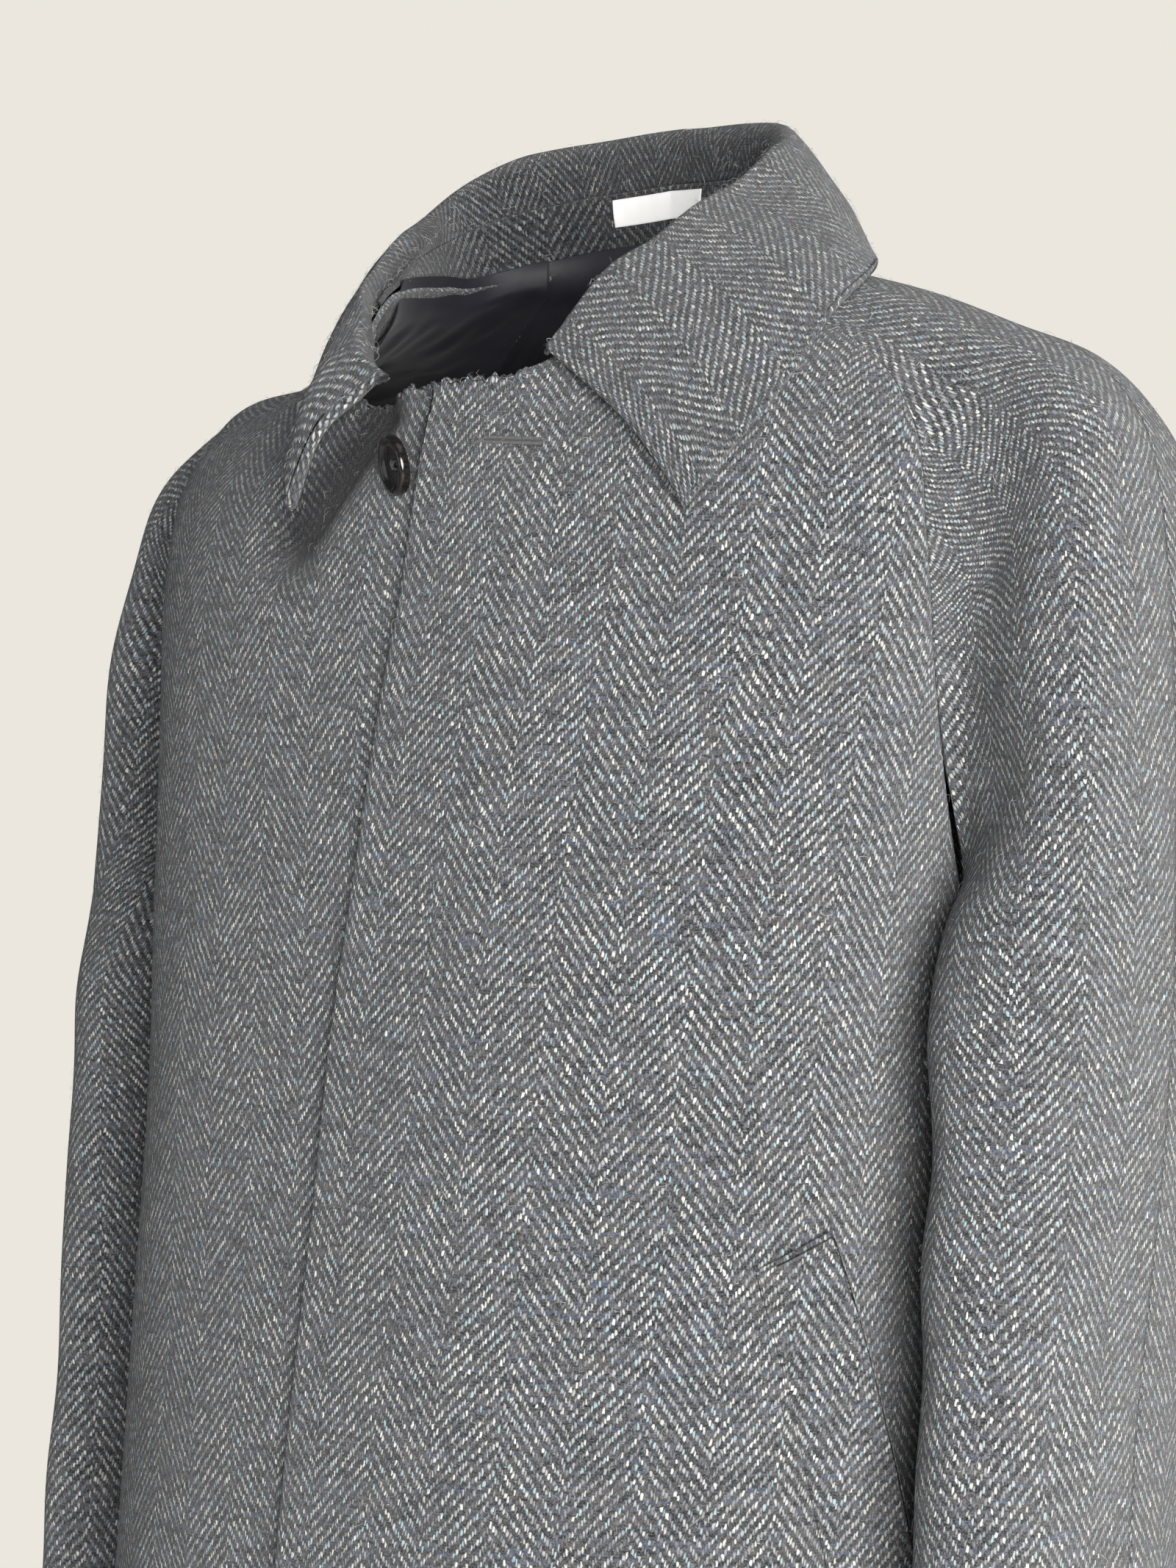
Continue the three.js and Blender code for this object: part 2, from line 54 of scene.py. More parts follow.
# Tables of the coat's form
coat = {
    # level rings: z, half width, front depth, back depth, squareness
    "rings": [
        [-1050, 262, 222, 182, 2.3], [-900, 239, 210, 169, 2.35], [-745, 210, 196, 154, 2.4],
        [-574, 189, 178, 139, 2.5], [-450, 182, 168, 131, 2.55], [-350, 180, 156, 126, 2.6],
        [-250, 183, 144, 123, 2.65], [-180, 190, 134, 120, 2.6], [-120, 198, 122, 114, 2.5],
        [-80, 200, 110, 104, 2.3], [-52, 184, 98, 91, 2.1], [-28, 140, 87, 76, 2.0],
        [-12, 103, 80, 66, 2.0], [0, 76, 74, 57, 2.0], [12, 70, 70, 50, 2.0], [30, 68, 68, 48, 2.0]],
    # neck seam: degrees from the front, z
    "neck": [[-16, -58], [0, -58], [12, -57], [20, -46], [27, -30], [38, -17], [52, -7],
             [68, -2], [90, 0], [130, 6.5], [150, 10], [180, 12]],
    "neckFrontZ": -58.0,
    # raglan seams, neck to armpit: share, degrees, z
    "raglanFront": [[0, 52, -7], [0.2, 61, -50], [0.5, 70.5, -113], [0.75, 79.5, -185], [1, 88, -255]],
    "raglanBack": [[0, 130, 6.5], [0.25, 126, -50], [0.5, 118, -113], [0.75, 107, -185], [1, 88, -255]],
    # front edges: z, x
    "leftEdge": [[-1050, -34], [-487, -8.6], [-380, -4], [-306, -2], [-246, 2.7], [-178, 7.5],
                 [-137, 10.5], [-88, 8], [-50, 4]],
    "rightEdge": [[-1050, 62], [-400, 55], [-246, 46], [-137, 34], [-50, 22]],
    "armpitZ": -255.0, "armpitDeg": 88.0, "hemZ": -1050.0,
    "wall": 2.4,                # the cloth
    "seamGap": 0.04,            # each piece stops this far from its seam line
    "overlapLift": 4.2,         # the left front lies this far above the right one
    # beside the neck the right shoulder drops: how far, and between which distances from the middle
    "drop": 13.0, "dropFrom": (65.0, 110.0), "dropTo": (140.0, 190.0),
    # the right leaf is drawn in toward the neck: how far, round which point, over which reach
    "drawIn": (15.0, 0.0, -5.0), "drawAt": (-88.0, -74.0, -42.0), "drawReach": (40.0, 46.0, 46.0),
    # under the right leaf the front dips and is painted dark as shadow: how deep, along which line (x, z to x,
    # z), over which reach
    "dip": 13.0, "dipAndShadowLine": ((-24.0, -52.0), (-60.0, -110.0)), "dipAndShadowReach": 17.0,
    "insideShade": 0.45,        # painted shade: how dark the inner faces are painted at least
}

sleeve = {
    # station, x, y, z
    "overarm": [
        [0, 74, -2, 0], [0.1, 108, 0, -10.5], [0.22, 158, 1, -26], [0.34, 196, 2, -42], [0.44, 221, 3, -53],
        [0.54, 239, 3, -69], [0.64, 251, 3, -91], [0.75, 257, 3, -132], [0.87, 260, 3, -190], [1, 260, 3, -255],
        [1.2, 259, -2, -330], [1.45, 256, -20, -450], [1.7, 259, -32, -574], [2, 280, -38, -745]],
    "underarm": [[1, 183.6, -11.5, -255], [1.2, 189, -9, -330], [1.45, 193, -20, -450],
                 [1.7, 200, -32, -574], [2, 222, -38, -745]],
    # the right sleeve lies closer in: station, overarm line in by, underarm line in by
    "rightIn": [[0, 0, 0], [0.1, 4, 0], [0.22, 8, 0], [0.34, 18, 0], [0.44, 19, 0], [0.54, 17, 0],
                [0.64, 18, 0], [0.75, 12, 0], [0.87, 7, 0], [1, 3, 0], [1.2, 4, 2], [1.45, 15, 5], [1.7, 13, 6], [2, 8, 8]],
    # station, reach at the overarm, reach along the body at the seam, reach outward there
    "full": [
        [0, 14, 10, 0], [0.2, 34, 20, 0], [0.4, 50, 30, 0], [0.5, 64, 34, 0], [0.65, 92, 36, 0],
        [0.8, 110, 26, 4], [0.9, 110, 6, 14], [0.96, 107, -22, 10], [1, 104, -50, 2], [1.1, 99, -90, 0],
        [1.2, 98, -98, 0], [1.45, 100, -100, 0], [1.7, 96, -96, 0], [2, 84, -84, 0]],
}

collar = {
    # degrees of the neck seam, roll x, y, z, edge x, y, z
    "left": [
        [16, 55, -98, -49, 128, -110, -112], [27, 69, -81, -19, 141, -96, -88], 
        [38, 79, -64, -6, 149, -78, -66], [52, 85, -44, 9, 152, -53, -39], [68, 88, -25, 20, 149, -25, -22], [90, 89, -2, 36, 134, 4, -12],
        [112, 83, 15, 44, 113, 33, -10], [140, 58, 42, 57, 79, 65, -9], [180, 0, 58, 65, 0, 82, -10]],
    "right": [
        [8, 28, -98, -51, 52, -124, -104], [16, 44, -96, -41, 58, -120, -95], [27, 60, -83, -24, 66, -111, -77],
        [38, 76.5, -65.5, -6, 81, -98, -58], [52, 83, -45.5, 8.5, 93, -77, -40],
        [68, 86, -25, 24, 99, -49, -20],
        [90, 89, -2, 40, 116, 2, 0], [112, 84, 16, 51, 111, 32, -4], [140, 58, 42, 61, 80, 66, -8],
        [180, 0, 58, 65, 0, 82, -10]],
    "roll": 5.5, "standTop": 0.22, "standFrom": 4 / 44,
}


# Small tools
def mix(a, b, t):
    return a + (b - a) * t


def ease(t):
    c = np.clip(t, 0, 1)
    return c * c * (3 - 2 * c)


def unit(a):
    return a / np.maximum(np.linalg.norm(a, axis=-1, keepdims=True), 1e-9)


def bump(x, middle, width):
    return np.exp(-((x - middle) / width) ** 2)


# Smooth value between a table's rows: on each span a cubic through both rows, with
# slopes that are the mean of the straight slopes on either side
def between(table, at):
    rows = np.asarray(table, float)
    if rows[-1, 0] < rows[0, 0]:
        rows = rows[::-1]
    key, value = rows[:, 0], rows[:, 1:]
    at = np.clip(np.asarray(at, float), key[0], key[-1])
    i = np.clip(np.searchsorted(key, at, side="right") - 1, 0, len(key) - 2)
    straight = np.diff(value, axis=0) / np.diff(key)[:, None]
    slope = np.vstack([straight[:1], (straight[1:] + straight[:-1]) / 2, straight[-1:]])
    h = (key[i + 1] - key[i])[..., None]
    s = (at - key[i])[..., None] / h
    return ((1 + 2 * s) * (1 - s) ** 2 * value[i] + s * (1 - s) ** 2 * h * slope[i]
            + s * s * (3 - 2 * s) * value[i + 1] + s * s * (s - 1) * h * slope[i + 1])


# The same cubic where every grid point has its own rows: points is (rows, ..., 3)
def through(keys, points, at):
    keys = np.asarray(keys, float)
    gap = np.diff(keys).reshape(-1, *[1] * (points.ndim - 1))
    straight = np.diff(points, axis=0) / gap
    slope = np.concatenate([straight[:1], (straight[1:] + straight[:-1]) / 2, straight[-1:]])
    i = np.clip(np.searchsorted(keys, at, side="right") - 1, 0, len(keys) - 2)
    pick = lambda stack, k: np.take_along_axis(stack, k[None, ..., None], 0)[0]
    h = (keys[i + 1] - keys[i])[..., None]
    s = (at - keys[i])[..., None] / h
    return ((1 + 2 * s) * (1 - s) ** 2 * pick(points, i) + s * (1 - s) ** 2 * h * pick(slope, i)
            + s * s * (3 - 2 * s) * pick(points, i + 1) + s * s * (s - 1) * h * pick(slope, i + 1))


# The coat's form
# Point of a level ring: a squared ellipse, x = width * sin^(2/n), y = -depth * cos^(2/n)
def onBody(deg, z, out=0.0):
    deg, z = np.broadcast_arrays(np.asarray(deg, float), np.asarray(z, float))
    wide, front, back, square = np.moveaxis(between(coat["rings"], z), -1, 0)
    s, c = np.sin(np.radians(deg)), np.cos(np.radians(deg))
    deep = np.where(c >= 0, front, back)
    x = (wide + out) * np.sign(s) * np.abs(s) ** (2 / square)
    y = -(deep + out) * np.sign(c) * np.abs(c) ** (2 / square)
    return np.stack([x, y, z], -1)


def degAtX(x, z):
    wide, _, _, square = np.moveaxis(between(coat["rings"], z), -1, 0)
    return np.sign(x) * np.degrees(np.arcsin((np.abs(x) / wide) ** (square / 2)))


def neckZ(deg):
    deg = np.asarray(deg, float)
    return between(coat["neck"], np.where(deg < -16, -deg, deg))[..., 0]


def overlapLift(deg, z):
    start = degAtX(between(coat["rightEdge"], z)[..., 0], z)
    return coat["overlapLift"] * (1 - ease((deg - start - 2) / 16))


# The right side's own stance: a drop beside the neck, and a pull that fades as exp(-distance^2)
def settle(p):
    far = -p[..., 0]
    share = (ease((far - coat["dropFrom"][0]) / (coat["dropFrom"][1] - coat["dropFrom"][0]))
             * (1 - ease((far - coat["dropTo"][0]) / (coat["dropTo"][1] - coat["dropTo"][0]))))
    p = p - np.array([0, 0, coat["drop"]]) * (share * ease((p[..., 2] + 150) / 100))[..., None]
    near = np.sum(((p - np.array(coat["drawAt"])) / np.array(coat["drawReach"])) ** 2, -1)
    return p + np.array(coat["drawIn"]) * np.exp(-near)[..., None]


# Degrees and height of a front's point: u from its edge to the raglan and side seams, v downward
def frontPlace(side, edge, u, v):
    r = v * 2
    seam = between(coat["raglanFront"], np.minimum(r, 1))
    low = mix(coat["armpitZ"], coat["hemZ"], np.maximum(r - 1, 0))
    upper = r <= 1
    endDeg = np.where(upper, seam[..., 0], coat["armpitDeg"])
    endZ = np.where(upper, seam[..., 1], low)
    edgeZ = np.where(upper, mix(coat["neckFrontZ"], coat["armpitZ"], r), low)
    edgeDeg = degAtX(between(edge, edgeZ)[..., 0], edgeZ) * side
    topDeg = degAtX(between(edge, coat["neckFrontZ"])[..., 0], coat["neckFrontZ"]) * side
    top = coat["raglanFront"][0]
    bend = neckZ(mix(topDeg, top[1], u)) - mix(coat["neckFrontZ"], top[2], u)
    z = mix(edgeZ, endZ, u) + bend * (1 - np.clip(r, 0, 1)) ** 3
    return mix(edgeDeg, endDeg, u), z


def backPlace(u, v):
    r = v * 2
    seam = between(coat["raglanBack"], np.minimum(r, 1))
    upper = r <= 1
    endDeg = np.where(upper, seam[..., 0], coat["armpitDeg"])
    endZ = np.where(upper, seam[..., 1], mix(coat["armpitZ"], coat["hemZ"], np.maximum(r - 1, 0)))
    top = coat["raglanBack"][0]
    neckDeg = mix(top[1], 360 - top[1], u)
    bend = neckZ(np.where(neckDeg > 180, 360 - neckDeg, neckDeg)) - top[2]
    z = np.where(upper, endZ + bend * (1 - np.minimum(r, 1)) ** 3, endZ)
    return mix(endDeg, 360 - endDeg, u), z


# A sleeve half: a cubic curve from the overarm line (u = 0) to the seam (u = 1) at each station
def sleevePoint(side, half, u, v):
    u, v = np.broadcast_arrays(u, v)
    r = v * 2
    top = between(sleeve["overarm"], r)
    reachTop, reachSeam, reachOut = np.moveaxis(between(sleeve["full"], r), -1, 0)
    table = coat["raglanFront"] if half < 0 else coat["raglanBack"]

    def place(s):
        deg, z = np.moveaxis(between(table, s), -1, 0)
        return onBody(deg, z, 1.7 * ease((s - 0.6) / 0.32))

    rr = np.minimum(r, 1)
    along = unit(place(np.minimum(1, rr + 0.01)) - place(np.maximum(0, rr - 0.01)))
    deg, z = np.moveaxis(between(table, rr), -1, 0)
    around = unit(onBody(deg + 1, z) - onBody(deg - 1, z))
    down = unit(onBody(deg, z - 2) - onBody(deg, z + 2))
    pull = unit(np.cross(unit(np.cross(down, around)), along)) * -half
    flat = np.zeros_like(pull) + np.array([0.0, -half, 0.0])
    pull = np.where(((reachSeam < 0) | (r > 1))[..., None], flat, pull)
    under = between(sleeve["underarm"], r)
    if side < 0:
        topIn, underIn = np.moveaxis(between(sleeve["rightIn"], r), -1, 0)
        top = top - np.array([1.0, 0, 0]) * topIn[..., None]
        under = under - np.array([1.0, 0, 0]) * underIn[..., None]
    seam = np.where((r <= 1)[..., None], place(rr), under)
    a = top + np.array([0.0, half, 0.0]) * reachTop[..., None]
    b = seam + pull * reachSeam[..., None] + np.array([1.0, 0, 0]) * reachOut[..., None]
    w, q = (1 - u)[..., None], u[..., None]
    p = w ** 3 * top + 3 * w * w * q * a + 3 * w * q * q * b + q ** 3 * seam
    return settle(p * np.array([side, 1, 1]))


# Keeps the underside of the collar clear of what it lies on
def clearOfBody(p, lifted):
    def shareAt(z, lift):
        wide, front, back, square = np.moveaxis(between(coat["rings"], z), -1, 0)
        deep = np.where(p[..., 1] < 0, front, back) + lift
        total = (np.abs(p[..., 0]) / (wide + lift)) ** square + (np.abs(p[..., 1]) / deep) ** square
        return total ** (1 / square)
    far = np.hypot(p[..., 0], p[..., 1])
    z = p[..., 2]
    slope = (far / shareAt(z - 2, 0) - far / shareAt(z + 2, 0)) / 4
    share = shareAt(z, (coat["wall"] + 1.4 + lifted) * np.hypot(1, slope))
    scale = np.where((z > -3) | (share >= 1), 1.0, 1 / share)
    return np.stack([p[..., 0] * scale, p[..., 1] * scale, z], -1)


# Collar section at each u round the neck: up the stand, over the roll, down the fall to its edge
def collarPoint(u, w):
    u, w = np.broadcast_arrays(np.asarray(u, float), np.asarray(w, float))
    right = u < 0.5
    startL, startR = collar["left"][0][0], collar["right"][0][0]
    deg = np.where(right, mix(startR, 180, u * 2), mix(180, startL, u * 2 - 1))
    row = np.where(right[..., None], between(collar["right"], deg), between(collar["left"], deg))
    base = onBody(deg, neckZ(deg)) + np.array([0, 0, 3.0])
    roll, edge = row[..., :3], row[..., 3:]
    across = unit((edge - roll) * np.array([1, 1, 0]))
    tall = np.linalg.norm(roll - base, axis=-1, keepdims=True)
    r = np.minimum(collar["roll"], tall * 0.45)
    drop = np.array([0, 0, 1.0]) * r * 0.7
    inside, outside = roll - across * r - drop, roll + across * r - drop
    bow = (across + np.array([0, 0, 1.2])) * np.where(right, 4.0, 2.5)[..., None]
    path = np.stack([base, mix(base, inside, 0.55) - across * 1.5, inside, roll, outside,
                     mix(outside, edge, 0.5) + bow, edge])
    p = through([0, 0.22, 0.4, 0.45, 0.5, 0.75, 1], path, w)
    lifted = np.where(right, 2 * ease((deg - 34) / 14), coat["overlapLift"] * (1 - ease((deg - 16) / 20)))
    p = np.where((w < 0.46)[..., None], p, clearOfBody(p, lifted))
    return settle(p * np.stack([np.where(right, -1.0, 1.0), np.ones_like(u), np.ones_like(u)], -1))


def fallFoot(u):
    return collar["standTop"] * ease((np.minimum(u, 1 - u) - collar["standFrom"] + 0.03) / 0.03)


# Flat pattern: where a point lies on the cut cloth
ringDegs = np.arange(-60.0, 421.0, 1.0)
ringZs = np.arange(coat["hemZ"], 31.0, 3.0)
ringNet = onBody(ringDegs[None, :], ringZs[:, None])
aroundArc = np.zeros(ringNet.shape[:2])
aroundArc[:, 1:] = np.cumsum(np.linalg.norm(np.diff(ringNet, axis=1), axis=-1), 1)
upArc = np.zeros(ringNet.shape[:2])
upArc[1:] = np.cumsum(np.linalg.norm(np.diff(ringNet, axis=0), axis=-1), 0)


def lookUp(net, deg, z):
    a = np.clip((deg - ringDegs[0]), 0, len(ringDegs) - 1.001)
    b = np.clip((z - ringZs[0]) / 3.0, 0, len(ringZs) - 1.001)
    i, j = b.astype(int), a.astype(int)
    fi, fj = b - i, a - j
    return ((net[i, j] * (1 - fj) + net[i, j + 1] * fj) * (1 - fi)
            + (net[i + 1, j] * (1 - fj) + net[i + 1, j + 1] * fj) * fi)


# Across the cloth: the arc round the ring from a given line; along it: the arc up the body
def bodyCloth(deg, z, fromDeg):
    return np.stack([lookUp(aroundArc, deg, z) - lookUp(aroundArc, fromDeg, z), lookUp(upArc, deg, z)], -1)


# Meshes
def surfaceNormals(grid, turn):
    return unit(np.cross(np.gradient(grid, axis=1), np.gradient(grid, axis=0))) * turn


def makeObject(name, points, faces, uv):
    mesh = bpy.data.meshes.new(name)
    faces = np.asarray(faces, np.int64)
    per = faces.shape[1]
    mesh.vertices.add(len(points))
    mesh.vertices.foreach_set("co", (points * mm).astype(np.float32).ravel())
    mesh.loops.add(faces.size)
    mesh.loops.foreach_set("vertex_index", faces.ravel().astype(np.int32))
    mesh.polygons.add(len(faces))
    mesh.polygons.foreach_set("loop_start", np.arange(0, faces.size, per, dtype=np.int32))
    mesh.polygons.foreach_set("use_smooth", np.full(len(faces), True))
    layer = mesh.uv_layers.new(name="cloth")
    layer.data.foreach_set("uv", uv[faces.ravel()].astype(np.float32).ravel())
    mesh.update(calc_edges=True)
    mesh.validate()
    obj = bpy.data.objects.new(name, mesh)
    bpy.context.scene.collection.objects.link(obj)
    return obj


def gridFaces(rows, cols, turn, start=0):
    i, j = np.meshgrid(np.arange(rows - 1), np.arange(cols - 1), indexing="ij")
    a = (start + i * cols + j).ravel()
    quad = np.stack([a, a + 1, a + cols + 1, a + cols], -1)
    return quad if turn > 0 else quad[:, ::-1]


# Faces of a grid that closes round its columns, and round its rows too where loop is true
def roundFaces(rows, cols, loop=False):
    i, j = np.meshgrid(np.arange(rows if loop else rows - 1), np.arange(cols), indexing="ij")
    ni, nj = (i + 1) % rows, (j + 1) % cols
    return np.stack([i * cols + j, i * cols + nj, ni * cols + nj, ni * cols + j], -1).reshape(-1, 4)


# Triangles of such a grid with a fan at each end, round two points that follow the grid's own
def cappedFaces(rows, cols):
    quads = roundFaces(rows, cols)
    s = np.arange(cols)
    m = (s + 1) % cols
    base = (rows - 1) * cols
    return np.vstack([quads[:, [0, 1, 2]], quads[:, [0, 2, 3]],
                      np.stack([np.full(cols, rows * cols), m, s], -1),
                      np.stack([np.full(cols, rows * cols + 1), base + s, base + m], -1)])


# A closed wall of cloth round a grid of outer points. The inner face is the outer one moved in along
# its normal. The rim between them is a half round on free edges, cos of the turn through the wall and
# sin outward, and almost flat on the sides named as seams. openTop names the columns whose top is free
# all the same. The map runs on round the rim. shade is painted shade, kept as the attribute inShade:
# how far each point lies in the coat's hollow; the inner face gets at least insideShade of it
def clothShell(name, grid, uv, wall, turn, seams=(), rim=4, puff=0.5, shade=0.0, openTop=None):
    rows, cols = grid.shape[:2]
    shade = np.broadcast_to(np.asarray(shade, float), (rows, cols))
    inShade = np.maximum(shade, coat["insideShade"])
    normal = surfaceNormals(grid, turn)
    wall = np.broadcast_to(np.asarray(wall, float), (rows, cols))[..., None]
    across, down = np.arange(cols - 1), np.arange(rows - 1)
    i = np.concatenate([0 * across, down, 0 * across + rows - 1, rows - 1 - down])
    j = np.concatenate([across, 0 * down + cols - 1, cols - 1 - across, 0 * down])
    inI, inJ = np.clip(i, 1, rows - 2), np.clip(j, 1, cols - 2)
    sewn = np.zeros(len(i), bool)
    for side, on in (("v0", i == 0), ("u1", j == cols - 1), ("v1", i == rows - 1), ("u0", j == 0)):
        if side in seams:
            sewn |= on
    if openTop is not None:
        sewn &= ~((i == 0) & openTop[j])
    outward = unit(grid[i, j] - grid[inI, inJ])
    mapOut = unit(uv[i, j] - uv[inI, inJ])
    bulge = wall[i, j] * np.where(sewn, 0.05, puff)[:, None]
    outer = grid.copy()
    outer[i, j] -= outward * bulge * 0.9
    inner = outer - normal * wall
    loop = i * cols + j
    count = rows * cols
    points = [outer.reshape(-1, 3), inner.reshape(-1, 3)]
    uvs = [uv.reshape(-1, 2), uv.reshape(-1, 2)]
    shades = [shade.ravel(), inShade.ravel()]
    rings = [loop]
    for k in range(1, rim + 1):
        turnBy = math.pi * k / (rim + 1)
        onWall = mix(outer[i, j], inner[i, j], (1 - math.cos(turnBy)) / 2)
        points.append(onWall + outward * bulge * math.sin(turnBy))
        uvs.append(uv[i, j] + mapOut * wall[i, j] * 0.5 * turnBy)
        shades.append(mix(shade[i, j], inShade[i, j], (k / (rim + 1)) ** 2))
        rings.append(2 * count + (k - 1) * len(loop) + np.arange(len(loop)))
    rings.append(count + loop)
    faces = [gridFaces(rows, cols, turn), gridFaces(rows, cols, -turn, count)]
    for a, b in zip(rings[:-1], rings[1:]):
        quad = np.stack([a, b, np.roll(b, -1), np.roll(a, -1)], -1)
        faces.append(quad if turn > 0 else quad[:, ::-1])
    obj = makeObject(name, np.vstack(points), np.vstack(faces), np.vstack(uvs) * mm)
    # the attribute inShade carries painted shade, which the materials use to darken the colour
    layer = obj.data.attributes.new("inShade", "FLOAT", "POINT")
    layer.data.foreach_set("value", np.concatenate(shades).astype(np.float32))
    return obj


# A round cord along a path: a circle carried square to the path, its radius a function of the path's share
def tube(name, path, radius, sides=8):
    path = np.asarray(path, float)
    count = len(path)
    tangent = unit(np.gradient(path, axis=0))
    up = np.where(np.abs(tangent[:, 2:3]) > 0.9, [[1.0, 0, 0]], [[0, 0, 1.0]])
    x = unit(np.cross(tangent, up))
    y = np.cross(tangent, x)
    a = np.linspace(0, 2 * math.pi, sides, endpoint=False)
    radius = np.broadcast_to(radius, (count,))[:, None, None]
    cos, sin = np.cos(a)[None, :, None], np.sin(a)[None, :, None]
    ring = path[:, None] + radius * (cos * x[:, None] + sin * y[:, None])
    points = np.vstack([ring.reshape(-1, 3), path[:1], path[-1:]])
    length = np.concatenate([[0], np.cumsum(np.linalg.norm(np.diff(path, axis=0), axis=1))])
    uv = np.stack([np.repeat(length, sides), np.tile(a, count)], -1)
    uv = np.vstack([uv, [[0, 0]], [[length[-1], 0]]])
    obj = makeObject(name, points, cappedFaces(count, sides), uv * mm)
    fixOutward(obj)
    return obj


def fixOutward(obj):
    work = bmesh.new()
    work.from_mesh(obj.data)
    bmesh.ops.recalc_face_normals(work, faces=work.faces)
    work.to_mesh(obj.data)
    work.free()


def grid2(us, vs):
    return np.meshgrid(np.asarray(us, float), np.asarray(vs, float))


# Rows that crowd together at both ends, so that edges and seams are round
def crowded(count, ends=0.6):
    t = np.linspace(0, 1, count)
    return mix(t, (1 - np.cos(math.pi * t)) / 2, ends)


# A seam or turned edge sinks over its last few millimetres: depth * (1 - d / reach)^2
def sink(distance, depth, reach):
    return -depth * np.clip(1 - distance / reach, 0, 1) ** 2


def edgeDistance(grid, axis, end):
    step = np.linalg.norm(np.diff(grid, axis=axis), axis=-1)
    if axis == 1:
        far = np.concatenate([np.zeros((grid.shape[0], 1)), np.cumsum(step, 1)], 1)
        return far if end == 0 else far[:, -1:] - far
    far = np.concatenate([np.zeros((1, grid.shape[1])), np.cumsum(step, 0)], 0)
    return far if end == 0 else far[-1:] - far


# Pulls a grid's border in from its seam lines, so that neighbours stop short of each other
def trimmed(grid, sides, gap):
    grid = grid.copy()
    if "u0" in sides:
        grid[:, 0] += unit(grid[:, 1] - grid[:, 0]) * gap
    if "u1" in sides:
        grid[:, -1] += unit(grid[:, -2] - grid[:, -1]) * gap
    if "v0" in sides:
        grid[0] += unit(grid[1] - grid[0]) * gap
    if "v1" in sides:
        grid[-1] += unit(grid[-2] - grid[-1]) * gap
    return grid


# Slow unevenness of cloth: a sum of a few sine waves over the flat pattern, each with its own direction
def unevenness(uv, seed, size, waveLength):
    draw = np.random.default_rng(seed)
    total = np.zeros(uv.shape[:2])
    for k in range(7):
        angle, phase = draw.uniform(0, math.pi), draw.uniform(0, 2 * math.pi)
        length = waveLength * draw.uniform(0.6, 1.7)
        along = uv[..., 0] * math.cos(angle) + uv[..., 1] * math.sin(angle)
        total += np.sin(along * 2 * math.pi / length + phase)
    return total * size / 7 ** 0.5


# Materials
class Nodes:
    def __init__(self, name):
        self.material = bpy.data.materials.new(name)
        self.material.use_nodes = True
        self.tree = self.material.node_tree
        self.shader = self.tree.nodes["Principled BSDF"]

    def add(self, kind, **values):
        node = self.tree.nodes.new(kind)
        for key, value in values.items():
            setattr(node, key, value)
        return node

    def put(self, socket, value):
        if hasattr(value, "is_output"):
            self.tree.links.new(value, socket)
        else:
            socket.default_value = value

    def math(self, operation, a, b=0.0, c=0.0):
        node = self.add("ShaderNodeMath", operation=operation)
        for k, value in enumerate((a, b, c)):
            self.put(node.inputs[k], value)
        return node.outputs[0]

    def times(self, a, b):
        return self.math("MULTIPLY", a, b)

    def plus(self, a, b):
        return self.math("ADD", a, b)

    def minus(self, a, b):
        return self.math("SUBTRACT", a, b)

    def noise(self, at, scale, detail=2.0, rough=0.5, kind="Fac"):
        node = self.add("ShaderNodeTexNoise")
        self.put(node.inputs["Vector"], at)
        node.inputs["Scale"].default_value = scale
        node.inputs["Detail"].default_value = detail
        node.inputs["Roughness"].default_value = rough
        return node.outputs[kind]

    def random(self, x, y):
        node = self.add("ShaderNodeTexWhiteNoise", noise_dimensions="2D")
        self.put(node.inputs["Vector"], self.vector(x, y, 0.0))
        return node.outputs["Value"]

    def vector(self, x, y, z):
        node = self.add("ShaderNodeCombineXYZ")
        for k, value in enumerate((x, y, z)):
            self.put(node.inputs[k], value)
        return node.outputs[0]

    def ramp(self, at, stops, constant=False):
        node = self.add("ShaderNodeValToRGB")
        node.color_ramp.interpolation = "CONSTANT" if constant else "LINEAR"
        marks = node.color_ramp.elements
        while len(marks) < len(stops):
            marks.new(0.5)
        for mark, (place, colour) in zip(marks, stops):
            mark.position = place
            mark.color = (*colour, 1)
        self.put(node.inputs["Fac"], at)
        return node.outputs["Color"]

    def blend(self, amount, a, b, kind="MIX"):
        node = self.add("ShaderNodeMix", data_type="RGBA", blend_type=kind)
        self.put(node.inputs[0], amount)
        self.put(node.inputs[6], a if hasattr(a, "is_output") else (*a, 1))
        self.put(node.inputs[7], b if hasattr(b, "is_output") else (*b, 1))
        return node.outputs[2]

    def relief(self, height, distance, strength=1.0):
        node = self.add("ShaderNodeBump")
        self.put(node.inputs["Height"], height)
        node.inputs["Distance"].default_value = distance
        node.inputs["Strength"].default_value = strength
        self.tree.links.new(node.outputs[0], self.shader.inputs["Normal"])

    # Painted shade: wool and satin are painted darker deep in the coat, as far as inShade says
    def shaded(self, colour, deep, far=0.92):
        node = self.add("ShaderNodeAttribute", attribute_name="inShade")
        return self.blend(self.times(node.outputs["Fac"], far), colour, deep)

    def clothAt(self):
        node = self.add("ShaderNodeUVMap", uv_map="cloth")
        split = self.add("ShaderNodeSeparateXYZ")
        self.tree.links.new(node.outputs[0], split.inputs[0])
        x, y = (self.times(split.outputs[k], 1000.0) for k in (0, 1))
        return node.outputs[0], x, y


